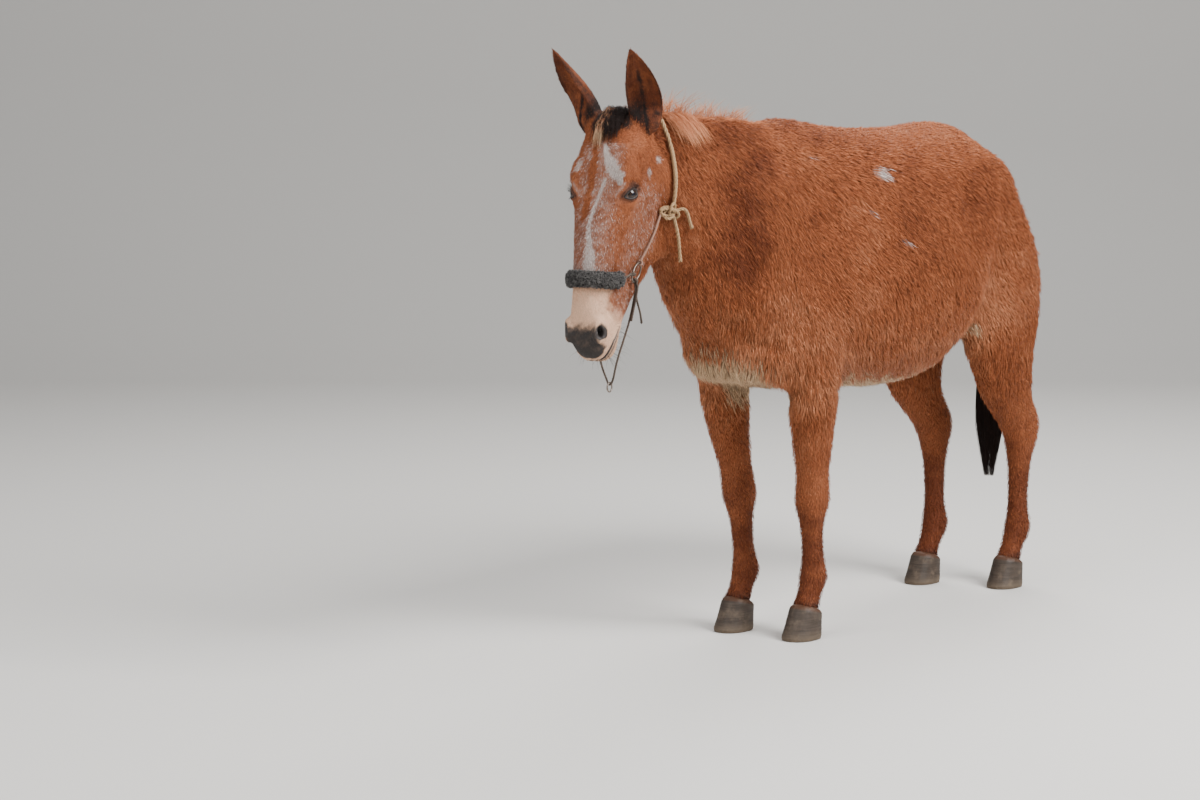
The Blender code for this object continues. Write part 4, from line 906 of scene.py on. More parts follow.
# Hair of each region: length, width, coat's depth over the skin, and tufts to the square metre
HAIR = {
    "torso": (0.029, 0.0025, 0.0088, 34500),
    "neck": (0.027, 0.0023, 0.0082, 38000),
    "leg": (0.013, 0.0020, 0.0042, 36000),
    "head": (0.0100, 0.0013, 0.0028, 80000),
    "ear": (0.0080, 0.0013, 0.0010, 60000),
}


def above_coronet(points):
    """The height over the nearest coronet."""
    best = np.full(len(points), 1.0)
    for x, y in FEET.values():
        away = points - (x, y, HOOF_HEIGHT)
        near = np.hypot(away[:, 0], away[:, 1]) < 0.12
        best = np.where(near, np.minimum(best, away @ CORONET_WAY), best)
    return best


def hair_sizes(skin):
    """Length, width, depth and density of the hair at every point of the skin."""
    look = bpy.context.scene.mule_coat
    shares = skin.shares
    groups = {
        "torso": shares["torso"],
        "neck": shares["neck"],
        "leg": sum(shares[leg] for leg in LEGS),
        "head": shares["head"],
        "ear": shares["ear_left"] + shares["ear_right"],
    }
    sizes = sum(np.outer(share, HAIR[name]) for name, share in groups.items())
    z = skin.points[:, 2]
    upper = groups["leg"] * smooth_share(0.45, 0.74, z)
    sizes += np.outer(upper, np.array(HAIR["torso"]) * (0.85, 1, 0.8, 1) - np.array(HAIR["leg"]))
    head = in_head(skin.points)
    u, v, w = head.T
    jaw = groups["head"] * smooth_share(-0.16, -0.24, w)
    sizes[:, :3] += np.outer(jaw, (0.009, 0, 0.004))
    muzzle = groups["head"] * smooth_share(0.46, 0.54, u)
    sizes[:, :3] *= 1 - np.outer(muzzle, (0.50, 0.25, 0.82))
    bare = np.zeros(len(u))
    for side in (-1, 1):
        eye = np.linalg.norm(head - np.array(EYE) * (1, side, 1), axis=1)
        near = groups["head"] * smooth_share(0.052, 0.030, eye)
        sizes[:, :3] *= 1 - np.outer(near, (0.50, 0.30, 0.90))
        nostril = np.linalg.norm((head - NOSTRIL * (1, side, 1)) * (0.7, 1, 1), axis=1)
        bare = np.maximum(bare, groups["head"] * smooth_share(0.022, 0.013, nostril))
    nose = smooth_share(0.590, 0.610, u) * smooth_share(-0.090, -0.080, w)
    nose *= smooth_share(0.050, 0.040, np.abs(v))
    bare = np.maximum(bare, 0.6 * groups["head"] * nose)
    slit = smooth_share(0.0065, 0.0040, np.abs(w - mouth_height(u))) * smooth_share(0.545, 0.565, u)
    bare = np.maximum(bare, groups["head"] * slit)
    sizes[:, 3] *= 1 - bare
    belly = shares["torso"] * smooth_share(0.94, 0.80, z) + 0.5 * upper * smooth_share(0.60, 0.70, z)
    sizes[:, :2] *= 1 + np.outer(belly, (0.70, 0.15))
    back = shares["torso"] * smooth_share(1.42, 1.50, z)
    sizes[:, :3] *= 1 - np.outer(back, (0.35, 0, 0.40))
    foot = above_coronet(skin.points)
    sizes[:, 2] *= smooth_share(0.0, 0.030, foot)
    sizes[:, 0] *= 1 + 0.7 * smooth_share(0.030, 0.010, foot)
    sizes[:, 0] *= look.length
    sizes[:, 3] *= look.density
    return sizes


def lie_of_hair(skin):
    """The way the hair lies at every point, along the skin."""
    shares = skin.shares
    x, z = skin.points[:, 0], skin.points[:, 2]
    count = len(x)
    way = np.zeros((count, 3))
    torso = np.tile((0.50, 0.0, -0.86), (count, 1))
    torso[:, 0] += 0.9 * smooth_share(1.30, 1.52, z)
    torso[:, 0] -= 0.45 * smooth_share(-0.10, -0.45, x)
    way += torso * shares["torso"][:, None]
    way += np.array((0.42, 0.0, -0.90)) * shares["neck"][:, None]
    for leg in LEGS:
        way += np.array((0.16, 0.0, -0.98)) * shares[leg][:, None]
    u, v, w = in_head(skin.points).T
    down = smooth_share(0.02, 0.16, u) * 1.5 - 0.5
    face = np.stack([down, np.sign(v) * 0.25, -0.15 - 0.5 * smooth_share(-0.05, -0.2, w)], 1)
    way += face @ np.array(HEAD_TURN).T * shares["head"][:, None]
    for name in EARS:
        way += np.array(ear_frame(SIDES[name[4:]])[1]) * shares[name][:, None]
    bend = ripple(skin.points, 0.075, 3)[:, None] * 0.16 + ripple(skin.points, 0.023, 4)[:, None] * 0.15
    way = unit(way) + np.cross(skin.normals, unit(way)) * bend
    return unit(way - skin.normals * np.sum(way * skin.normals, 1, keepdims=True))


@cache
def the_skin():
    """The skin under the coat, with its regions, hair sizes and lie of the hair, worked out once."""
    skin = Skin(skin_mesh())
    x, y, z = skin.points.T
    mane = smooth_share(-0.50, -0.58, x) * smooth_share(1.32, 1.38, z) * smooth_share(0.06, 0.02, y)
    mane *= smooth_share(-0.86, -0.80, x)
    skin.soften(24, mane)
    u, v, w = in_head(skin.points).T
    skin.soften(16, smooth_share(0.020, 0.012, np.abs(w + 0.126)) * smooth_share(0.545, 0.560, u))
    skin.soften(5)
    skin.shares = region_shares(skin)
    skin.sizes = hair_sizes(skin)
    skin.push(-skin.sizes[:, 2])
    skin.soften(4)
    sculpt_forms(skin)
    sculpt_ears(skin)
    sculpt_muzzle(skin)
    sculpt_eyes(skin)
    skin.sizes[:, 3] *= smooth_share(0.0008, 0.0030, skin.lids)
    skin.lie = lie_of_hair(skin)
    return skin


# Coat

# How deep tufts are sunk in the skin, and the size of each one's patch on the map
ROOT_DEPTH = 0.0012
PATCH_SIZE = 0.003


class Roots:
    """Roots of tufts, scattered evenly over the skin, with all that the skin has there."""

    def __init__(self, skin, density, seed, wanted):
        draw = np.random.default_rng(seed)
        face_density = density[skin.faces].mean(1) * wanted
        expected = face_density * skin.areas
        number = np.floor(expected + draw.random(len(expected))).astype(int)
        face = np.repeat(np.arange(len(number)), number)
        a = draw.random(len(face))
        b = draw.random(len(face))
        over = a + b > 1
        a[over], b[over] = 1 - a[over], 1 - b[over]
        self.corners = skin.faces[face]
        self.shares = np.stack([1 - a - b, a, b], 1)
        self.points = self.read(skin.points)
        self.normals = unit(self.read(skin.normals))
        self.draw = draw

    def read(self, values):
        values = np.asarray(values)
        picked = values[self.corners]
        if values.ndim == 1:
            return (picked * self.shares).sum(1)
        return (picked * self.shares[:, :, None]).sum(1)

    def __len__(self):
        return len(self.points)


def tufts(name, roots, way, length, width, rise, bend, patches, marks, rings=1):
    """Flat, tapered tufts of hair as one mesh: a point sunk in the skin, rings of three, and a tip."""
    draw = roots.draw
    count = len(roots)
    normals = roots.normals
    across = np.cross(normals, way)
    length = length * draw.uniform(0.75, 1.25, count)
    width = width * draw.uniform(0.75, 1.25, count)
    rise = rise * draw.uniform(0.6, 1.4, count)
    aside = bend * draw.normal(size=count)
    angle = draw.uniform(0, 2 * math.pi, count)
    steps = {1: (0.42,), 2: (0.28, 0.66)}[rings]
    points = [roots.points - normals * ROOT_DEPTH]

    def middle(t):
        out = rise * (1.9 * t - 0.9 * t * t)
        drift = (aside * length * t * t)[:, None]
        return roots.points + way * (length * t)[:, None] + normals * out[:, None] + across * drift

    for t in steps:
        centre = middle(t)
        size = width * (1.15 - 0.55 * t) / 2
        for k in range(3):
            turn = angle + 2 * math.pi * k / 3
            flat = across * (np.cos(turn) * size)[:, None]
            points.append(centre + flat + normals * (np.sin(turn) * size * 0.6)[:, None])
    points.append(middle(1.0))
    per = len(points)
    points = np.stack(points, 1).reshape(-1, 3)
    faces = [(0, 1 + (k + 1) % 3, 1 + k) for k in range(3)]
    faces += wall_faces(len(steps), 3, 1)
    first = per - 4
    faces += [(first + k, first + (k + 1) % 3, per - 1) for k in range(3)]
    faces = (np.array(faces)[None] + np.arange(count)[:, None, None] * per).reshape(-1, 3)
    along = np.tile([0.0] + [t for t in steps for _ in range(3)] + [1.0], count)
    turns = [0.5] + [k / 2 for _ in steps for k in range(3)] + [0.5]
    uvs = patch_uvs(patches, along, np.tile(turns, count))
    values = {label: np.repeat(data, per) for label, data in marks.items()}
    values["along"] = along
    values["shade"] = np.repeat(draw.random(count), per)
    return mesh_from_arrays(name, points, faces, uvs, values)


def patch_uvs(patches, along, aside):
    """Each tuft's own patch of the map, at its root's place."""
    uvs = np.repeat(patches, len(along) // len(patches), axis=0)
    uvs += (np.stack([along, aside], 1) - 0.5) * PATCH_SIZE
    return uvs


def unwrapped(points, start, end, side):
    """The skin unrolled about the axis from start to end: along it, and round it from a side."""
    start = np.array(start, float)
    axis = np.array(end, float) - start
    length = np.linalg.norm(axis)
    axis /= length
    side = np.array(side, float)
    side -= axis * (side @ axis)
    side /= np.linalg.norm(side)
    other = np.cross(axis, side)
    away = points - start
    along = np.clip(away @ axis / length, 0, 1)
    round_it = np.arctan2(away @ other, away @ side) / (2 * math.pi) + 0.5
    return 0.01 + 0.98 * np.stack([along, round_it], 1)


# Coat pieces: the node each covers, its side of the body and its reach in x if it has these, and the
# axis it unrolls about
TRUNK_AXIS = ((-0.60, 0, 1.12), (1.00, 0, 1.18), (0, 0, 1))
COATS = {
    "coat_shoulder_left": ("torso", -1, (-9, 0.22), TRUNK_AXIS),
    "coat_shoulder_right": ("torso", 1, (-9, 0.22), TRUNK_AXIS),
    "coat_flank_left": ("torso", -1, (0.22, 9), TRUNK_AXIS),
    "coat_flank_right": ("torso", 1, (0.22, 9), TRUNK_AXIS),
    "coat_neck_left": ("neck", -1, None, ((-0.95, 0, 1.46), (-0.30, 0, 1.10), (0, 1, 0))),
    "coat_neck_right": ("neck", 1, None, ((-0.95, 0, 1.46), (-0.30, 0, 1.10), (0, -1, 0))),
    "coat_head_left": ("head", -1, None, ((-0.90, 0, 1.50), (-1.12, -0.05, 0.83), (0, 1, 0))),
    "coat_head_right": ("head", 1, None, ((-0.90, 0, 1.50), (-1.12, -0.05, 0.83), (0, -1, 0))),
    "coat_ear_left": ("ear_left", 0, None, ((-0.95, -0.10, 1.48), (-1.10, -0.15, 1.75), (1, 0, 0))),
    "coat_ear_right": ("ear_right", 0, None, ((-0.95, 0.10, 1.48), (-1.10, 0.15, 1.75), (1, 0, 0))),
    "coat_foreleg_left": ("foreleg_left", 0, None, ((-0.20, -0.13, 0.75), (-0.20, -0.13, 0.05), (0, 1, 0))),
    "coat_foreleg_right": ("foreleg_right", 0, None, ((-0.20, 0.13, 0.75), (-0.20, 0.13, 0.05), (0, -1, 0))),
    "coat_hindleg_left": ("hindleg_left", 0, None, ((0.90, -0.14, 1.00), (0.93, -0.14, 0.05), (0, 1, 0))),
    "coat_hindleg_right": ("hindleg_right", 0, None, ((0.85, 0.14, 1.00), (0.85, 0.14, 0.05), (0, -1, 0))),
}


def face_side(points):
    """Which side of the animal places are on, -1 on the left, the head's by its own middle plane."""
    left = in_head(points)[:, 1]
    return np.where(points[:, 0] < -0.80, -np.sign(left + 1e-6), np.sign(points[:, 1] + 1e-6))


def coat_piece(skin, name, number):
    """One piece of the coat as a mesh of tufts."""
    node, side, reach, axis = COATS[name]
    middles = skin.points[skin.faces].mean(1)
    share = skin.shares[node][skin.faces].mean(1)
    others = np.max([skin.shares[n][skin.faces].mean(1) for n in skin.shares if n != node], axis=0)
    wanted = (share > others).astype(float)
    if side:
        wanted *= face_side(middles) == side
    if reach:
        wanted *= (middles[:, 0] > reach[0]) & (middles[:, 0] <= reach[1])
    roots = Roots(skin, skin.sizes[:, 3], 100 + number, wanted)
    length, width, depth = roots.read(skin.sizes[:, :3]).T
    way = unit(roots.read(skin.lie))
    stand = 1 + 0.35 * ripple(roots.points, 0.030, 5) + 0.25 * ripple(roots.points, 0.011, 6)
    marks = markings_and_shade(roots.points, roots.normals, {n: roots.read(skin.shares[n]) for n in skin.shares})
    for label in ("white", "pale", "dark"):
        own = smooth_share(-0.06, 0.06, marks[label] - roots.draw.uniform(0.08, 0.95, len(roots)))
        marks[label] = 0.45 * marks[label] + 0.55 * own
    marks["light"] = marks["light"] + roots.draw.normal(size=len(roots)) * 0.10
    patches = unwrapped(roots.points, *axis)
    return tufts(name, roots, way, length, width, depth * np.clip(stand, 0.3, 2.0), 0.10, patches, marks)


@cache
def coat_material():
    """The finish of every tuft and strand of hair."""
    shader = Shader("coat")
    along = shader.attribute("along")
    shade = shader.attribute("shade")
    # Painted shade: each tuft and strand is darker at its root, deep among the hairs, and lighter towards
    # its tip; shade varies each at random.
    light = (0.68 + along.eased(0.05, 0.75) * 0.48) * (0.77 + shade * 0.46)
    colour = shader.shaded(coat_colour(shader), light)
    shader.set(Base_Color=colour, Roughness=0.58, Specular_IOR_Level=0.18)
    return shader.material


def skin_material():
    """The skin between the hairs, with the coat's markings darkened as painted shade among the hairs, and
    grey where it is bare.
    """
    shader = Shader("skin")
    shade_streaks = shader.noise(1.0, 3, 0.7, shader.stretched((300, 300, 130)))
    bare = shader.attribute("bare")
    grain = shader.noise(900, 2, 0.6)
    # Painted shade: the coat's colour is darkened over the skin, less along the streaks and where it is
    # bare.
    colour = shader.shaded(coat_colour(shader), 0.42 + shade_streaks * 0.5 + bare * 0.25)
    colour = shader.mix(bare * 0.9, colour, bpy.context.scene.mule_coat.grey)
    shader.set(Base_Color=colour, Roughness=0.74 - bare * 0.30, Specular_IOR_Level=0.20)
    shader.bump(shade_streaks * (1 - bare) + grain * bare * 0.5, 0.5, 0.002)
    return shader.material


# Long hair, in strands

# Points of a strand, widths of the strands, and the way that their first side faces
HAIR_STEPS = 7
TAIL_STEPS = 13
MANE_WIDTH = 0.0011
FORELOCK_WIDTH = 0.0012
LASH_WIDTH = 0.0006
TAIL_WIDTH = 0.0017
UP_WAY = np.array((0.0, 0.0, 1.0))
FACING = UP_WAY + 0.01
TAIL_FACING = (1.0, 0.0, 0.05)
# Widths of a strand at its root, further down and at its tip, as shares
TAPER = (1.0, 0.85, 0.06)
TAIL_TAPER = (0.8, 1.0, 0.12)


def strands(name, paths, width, facing, patches, marks, draw, taper=TAPER):
    """Tapered strands of three sides along paths, each closed at its root and tip."""
    count, steps = paths.shape[:2]
    way = np.gradient(paths, axis=1)
    way /= np.maximum(np.linalg.norm(way, axis=2, keepdims=True), 1e-9)
    across = np.cross(way, facing)
    across /= np.maximum(np.linalg.norm(across, axis=2, keepdims=True), 1e-9)
    flat = np.cross(across, way)
    share = np.linspace(0, 1, steps)
    size = np.interp(share, (0, 0.6, 1), taper)[None] * np.reshape(width, (-1, 1)) / 2
    turn = draw.uniform(0, 2 * math.pi, count)[:, None]
    rings = []
    for k in range(3):
        angle = turn + 2 * math.pi * k / 3
        aside = across * (np.cos(angle) * size)[..., None]
        rings.append(paths + aside + flat * (np.sin(angle) * size)[..., None])
    points = np.stack(rings, 2).reshape(-1, 3)
    faces = [(0, 2, 1), (3 * steps - 3, 3 * steps - 2, 3 * steps - 1)]
    faces += wall_faces(steps, 3)
    faces = (np.array(faces)[None] + np.arange(count)[:, None, None] * 3 * steps).reshape(-1, 3)
    along = np.tile(np.repeat(share, 3), count)
    uvs = patch_uvs(patches, along, np.tile((0.0, 0.5, 1.0), count * steps))
    values = {}
    for label, data in marks.items():
        data = np.asarray(data, float)
        if data.ndim < 2:
            data = np.repeat(np.broadcast_to(data, (count,))[:, None], steps, axis=1)
        values[label] = np.repeat(data.ravel(), 3)
    # Along sets the coat's painted shade at the root; a strand's root takes less of it than a tuft's.
    values["along"] = along * 0.55 + 0.35
    values["shade"] = np.repeat(draw.random(count), 3 * steps)
    return mesh_from_arrays(name, points, faces, uvs, values)


@cache
def skin_tree():
    """The skin as a tree for the nearest place on it."""
    skin = the_skin()
    return BVHTree.FromPolygons([Vector(p) for p in skin.points], skin.faces.tolist())


def on_crest(x, y):
    """The place on the neck's crest under a point, and the skin's way out there."""
    hit, normal = skin_tree().ray_cast(Vector((x, y, 2.0)), -UP)[:2]
    return np.array(hit), np.array(normal)


CREST_FRONT = -0.735
CREST_BACK = -0.345
CREST_AXIS = ((-0.80, 0, 1.60), (-0.30, 0, 1.50), (0, 0, 1))


def mane_paths(draw, steps):
    """Short hair along the whole crest, and taller sparse tufts that stand up from it."""
    paths, pale = [], []
    look = bpy.context.scene.mule_hair
    bunches = []
    for i in range(look.mane_tufts):
        share = (i + draw.random()) / look.mane_tufts
        x = CREST_FRONT + (CREST_BACK - CREST_FRONT) * share**1.15
        tall = look.mane_length * (1 - 0.35 * share) * draw.uniform(0.5, 1.15)
        lean = draw.normal() * 0.35 + 0.25
        bunches.append((x, tall, lean, draw.normal() * 0.35, int(draw.integers(10, 26))))
    for x, tall, lean, aside, number in bunches:
        for _ in range(number):
            root, normal = on_crest(x + draw.normal() * 0.007, draw.normal() * 0.007)
            way = np.array((lean + draw.normal() * 0.22, aside + draw.normal() * 0.20, 1.0))
            way /= np.linalg.norm(way)
            length = tall * draw.uniform(0.5, 1.1)
            ahead = draw.normal() * 0.25 + 0.15
            droop = np.array((ahead, aside * 0.4 + draw.normal() * 0.3, -0.12)) * length
            t = np.linspace(0, 1, steps)[:, None]
            paths.append(root - normal * 0.004 + way * length * t + droop * t * t)
            pale.append(draw.uniform(0.1, 0.9))
    for _ in range(look.crest_hairs):
        share = draw.random()
        x = CREST_FRONT + (CREST_BACK + 0.06 - CREST_FRONT) * share
        root, normal = on_crest(x, draw.normal() * 0.010)
        side = draw.choice((-1, -1, 1))
        way = np.array((0.55 + draw.normal() * 0.2, side * draw.uniform(0.1, 0.9), 0.55))
        way /= np.linalg.norm(way)
        length = draw.uniform(0.020, 0.042)
        t = np.linspace(0, 1, steps)[:, None]
        paths.append(root - normal * 0.003 + way * length * t - UP_WAY * length * 0.35 * t * t)
        pale.append(draw.uniform(0.0, 0.5))
    return np.array(paths), np.array(pale)


def hanging_paths(draw, steps):
    """The lock behind the left ear, which falls over the side of the neck."""
    paths = []
    look = bpy.context.scene.mule_hair
    tree = skin_tree()
    for _ in range(look.lock_hairs):
        share = draw.random()
        root, normal = on_crest(CREST_FRONT + 0.012 + 0.105 * share, -0.004 + draw.normal() * 0.008)
        length = look.lock_length * draw.uniform(0.55, 1.1) * (1 - 0.25 * share)
        drift = draw.normal() * 0.14 + 0.22
        lift = draw.uniform(0.003, 0.013)
        path = [root - normal * 0.004]
        place = Vector(root) + UP * draw.uniform(0.004, 0.014)
        way = Vector((drift, -0.9, 0.15))
        for k in range(1, steps):
            way = (way + Vector((drift * 0.35, -0.12, -0.42))).normalized()
            place = place + way * (length / (steps - 1))
            near, out = tree.find_nearest(place)[:2]
            wanted = lift * math.sin(math.pi * min(k / (steps - 1) + 0.15, 0.85))
            if (place - near).dot(out) < wanted:
                place = near + out * wanted
            path.append(np.array(place))
        paths.append(path)
    return np.array(paths)


def forelock_paths(draw, steps):
    """Hair that rises between the ears and falls forward over the brow, the palest of it to the right."""
    paths, pale = [], []
    look = bpy.context.scene.mule_hair
    for _ in range(look.forelock_hairs):
        aside = draw.uniform(-1, 1)
        down = draw.uniform(-0.035, 0.040)
        fair = draw.random() < 0.60 * math.exp(-(((aside + 0.28) / 0.34) ** 2))
        tall = draw.uniform(0.020, 0.046) * (1 - 0.35 * aside * aside)
        reach = draw.uniform(0.030, 0.075) if fair else draw.uniform(0.012, 0.055)
        gather = draw.uniform(0.0, 0.35)
        sway = draw.normal() * 0.010 - (0.012 if fair else 0.0)
        base = np.interp(down, CROWN_U, CROWN_W) - 0.010
        row = []
        for t in np.linspace(0, 1, steps):
            rise = tall * math.sin(min(t * 1.75, 1.57)) * (1 - 0.62 * t * t)
            u = down - 0.012 * math.sin(math.pi * t) + reach * t * t
            ground = np.interp(u, CROWN_U, CROWN_W) - 0.004
            w = max(base + rise + 0.006 * t, ground + 0.004 * t if t > 0.3 else -1)
            row.append(at_head(u, aside * 0.038 * (1 - gather * t) + sway * t, w))
        paths.append(row)
        pale.append(0.9 if fair else 0.0)
    return np.array(paths), np.array(pale)


# Lashes of the upper and lower lid: number, length, angle past the edge, rise, droop and curl
LASHES = ((34, 0.014, 0.10, 0.35, 0.5, 0.25), (12, 0.007, -0.09, -0.3, 0.1, -0.2))
WHISKERS = 70


def face_hair_paths(draw):
    """Lashes over and under both eyes, and whiskers on the lips and chin."""
    paths = []
    t = np.linspace(0, 1, 5)[:, None]
    for side in SIDES.values():
        middle, ways = eye_frame(side)
        out, corner, brow = (np.array(way) for way in ways)
        for lid, (number, reach, lift, rise, drop, curl) in enumerate(LASHES):
            for _ in range(number):
                along = draw.uniform(-0.75, 0.70) * EYE_SLIT
                above = float(slit_edges(np.array(along))[lid]) + lift
                level = out * math.cos(along) + corner * math.sin(along)
                way = level * math.cos(above) + brow * math.sin(above)
                root = np.array(middle) + way * (EYE_RADIUS + 0.0022)
                length = reach * draw.uniform(0.7, 1.2)
                bend = brow * rise - UP_WAY * drop
                aim = way + corner * (0.30 * math.sin(along)) + bend * 0.6
                paths.append(root + aim * length * t + brow * curl * length * t * t)
    tree = skin_tree()
    for _ in range(WHISKERS):
        side = draw.choice((-1, 1))
        u = draw.uniform(0.555, 0.665)
        w = draw.choice((draw.uniform(-0.120, -0.095), draw.uniform(-0.175, -0.145)))
        start = at_head(u, side * draw.uniform(0.005, 0.055), w)
        near, normal = tree.find_nearest(start)[:2]
        length = draw.uniform(0.016, 0.042)
        way = np.array(normal) + draw.normal(size=3) * 0.35
        paths.append(np.array(near) + way * length * t - UP_WAY * 0.3 * length * t * t)
    return np.array(paths)


# The tail's middle line: x and height
TAIL_LINE = (
    (0.873, 1.380), (0.968, 1.374), (1.028, 1.312), (1.053, 1.200), (1.057, 1.070), (1.043, 0.940),
    (1.021, 0.820), (1.005, 0.700), (0.991, 0.580), (0.985, 0.460), (0.985, 0.350),
)
TAIL_PLACES = (0.0, 0.20, 0.35, 0.60, 0.85, 1.0)
TAIL_WIDTHS = (0.030, 0.038, 0.048, 0.062, 0.054, 0.020)
TAIL_FLATNESS = 0.62
TAIL_AXIS = ((1.05, 0, 1.40), (1.00, 0, 0.35), (1, 0, 0))
# The dock: sides, rings, and reach by the share of the tail's length
DOCK_SIDES = 24
DOCK_RINGS = 24
DOCK_PLACES = (0, 0.12, 0.3, 0.6, 0.66)
DOCK_REACH = (0.95, 0.88, 0.70, 0.40, 0.05)
# The short hair over it: length, width, depth and tufts to the square metre
DOCK_HAIR = (0.022, 0.0019, 0.0050)
DOCK_DENSITY = 50000.0


def tail_place(share, angle, reach):
    """Places in the tail by the share of its length, the direction round it and the reach to its outline."""
    line = np.array(smooth_path([(x, 0, z) for x, z in TAIL_LINE], 8))[:, (0, 2)]
    steps = np.linspace(0, 1, len(line))
    share = np.clip(share, 0, 1)
    x, z = (np.interp(share, steps, line[:, k]) for k in (0, 1))
    ahead = np.clip(share + 0.02, 0, 1)
    behind = np.clip(share - 0.02, 0, 1)
    dx, dz = (np.interp(ahead, steps, line[:, k]) - np.interp(behind, steps, line[:, k]) for k in (0, 1))
    length = np.hypot(dx, dz)
    width = np.interp(share, TAIL_PLACES, TAIL_WIDTHS) * reach
    flat = np.sin(angle) * width * TAIL_FLATNESS
    return np.stack([x + flat * dz / length, 0.0003 + np.cos(angle) * width, z - flat * dx / length], -1)


def tail_paths(draw, steps):
    """Strands that leave the dock all round and hang to their own lengths, gathered in locks."""
    number = bpy.context.scene.mule_hair.tail_hairs
    locks = number // 26
    lock = draw.integers(0, locks, number)
    lock_angle = draw.uniform(0, 2 * math.pi, locks)
    lock_root = draw.uniform(0.05, 0.46, locks)
    lock_tip = np.minimum(lock_root + draw.uniform(0.50, 0.95, locks), 1.0)
    angle = (lock_angle[lock] + draw.normal(size=number) * 0.20)[:, None]
    root = np.clip(lock_root[lock] + draw.normal(size=number) * 0.03, 0.0, 0.55)[:, None]
    tip = np.clip(lock_tip[lock] + draw.normal(size=number) * 0.035, 0.3, 1.0)[:, None]
    depth = draw.uniform(0.35, 1.0, number)[:, None]
    t = np.linspace(0, 1, steps)[None]
    share = root + (tip - root) * t
    sway = draw.normal(size=(number, 1)) * 0.30
    reach = (0.62 + 1.10 * t - 0.95 * t**2) * (0.45 + 0.60 * depth)
    gather = lock_angle[lock][:, None] + (angle - lock_angle[lock][:, None]) * (1 - 0.6 * t)
    path = tail_place(share, gather + sway * t, reach)
    return path + draw.normal(size=(number, 1, 3)) * 0.002 * t[..., None], share


def tail_dock():
    """The tail's fleshy dock and the dense hair over it, tapering out inside the strands."""
    rings = []
    angles = np.linspace(0, 2 * math.pi, DOCK_SIDES + 1)[:-1]
    for share in np.linspace(0.0, DOCK_PLACES[-1], DOCK_RINGS):
        reach = float(np.interp(share, DOCK_PLACES, DOCK_REACH))
        rings.append(tail_place(np.full(DOCK_SIDES, share), angles, reach))
    return lofted(rings)


# Eyes


def eyeball(name, side):
    """An eyeball with its cornea's bulge, and how far each place lies along and across the slit."""
    middle, ways = eye_frame(side)
    out, corner, brow = ways
    bm = bmesh.new()
    bmesh.ops.create_uvsphere(bm, u_segments=64, v_segments=48, radius=EYE_RADIUS)
    depth = corner.cross(brow)
    turn = Matrix((corner, brow, depth * math.copysign(1, depth.dot(out)))).transposed()
    for v in bm.verts:
        facing = v.co.z / EYE_RADIUS
        angle = math.acos(max(-1.0, min(1.0, facing)))
        bulge = max(0.0, 1 - (angle / math.radians(44)) ** 2)
        v.co *= 1 + 0.030 * bulge * bulge
    bmesh.ops.transform(bm, matrix=Matrix.Translation(middle) @ turn.to_4x4(), verts=bm.verts)
    bmesh.ops.recalc_face_normals(bm, faces=bm.faces)
    obj = object_from(bm, name)
    places = np.array([v.co for v in obj.data.vertices]) - np.array(middle)
    for label, way in (("along_slit", corner), ("over_slit", brow)):
        attribute = obj.data.attributes.new(label, "FLOAT", "POINT")
        attribute.data.foreach_set("value", (places @ np.array(way) / EYE_RADIUS).astype(np.float32))
    return obj


@cache
def eye_material():
    """A wet, dark eye: a level pupil in a brown iris with a dark rim."""
    look = bpy.context.scene.mule_eye
    shader = Shader("eye")
    along = shader.attribute("along_slit")
    over = shader.attribute("over_slit")
    reach = (along * along + over * over).math("SQRT")
    grain = shader.noise(1400, 3, 0.7)
    flecks = shader.noise(420, 3, 0.6)
    iris = shader.mix(flecks.eased(0.30, 0.75), look.iris_dark, look.iris)
    iris = shader.shaded(iris, 0.75 + grain * 0.5)
    pupil = (along / 0.36).math("POWER", 2.0) + (over / 0.17).math("POWER", 2.0)
    pupil = pupil.eased(1.15, 0.85)
    colour = shader.mix(pupil, iris, (0.004, 0.005, 0.009))
    colour = shader.mix(reach.eased(0.52, 0.60), colour, (0.006, 0.004, 0.003))
    white = shader.mix(flecks, look.white, (0.110, 0.060, 0.040))
    colour = shader.mix(reach.eased(0.64, 0.72), colour, white)
    shader.set(Base_Color=colour, Roughness=0.16, Specular_IOR_Level=0.25)
    shader.set(Coat_Weight=0.30, Coat_Roughness=0.02)
    shader.bump(grain, 0.02, 0.0003)
    return shader.material


# Hooves

# Growth rings: distance apart, how much they sway, the sway's scale and seed, and their share
GROWTH_RINGS = ((0.0085, 1.2, 0.05, 71, 0.5), (0.0150, 2.0, 0.03, 72, 0.25))
FEET_NODES = {f"hoof_{end}_{side}": f"{end}leg_{side}" for end in ("fore", "hind") for side in SIDES}


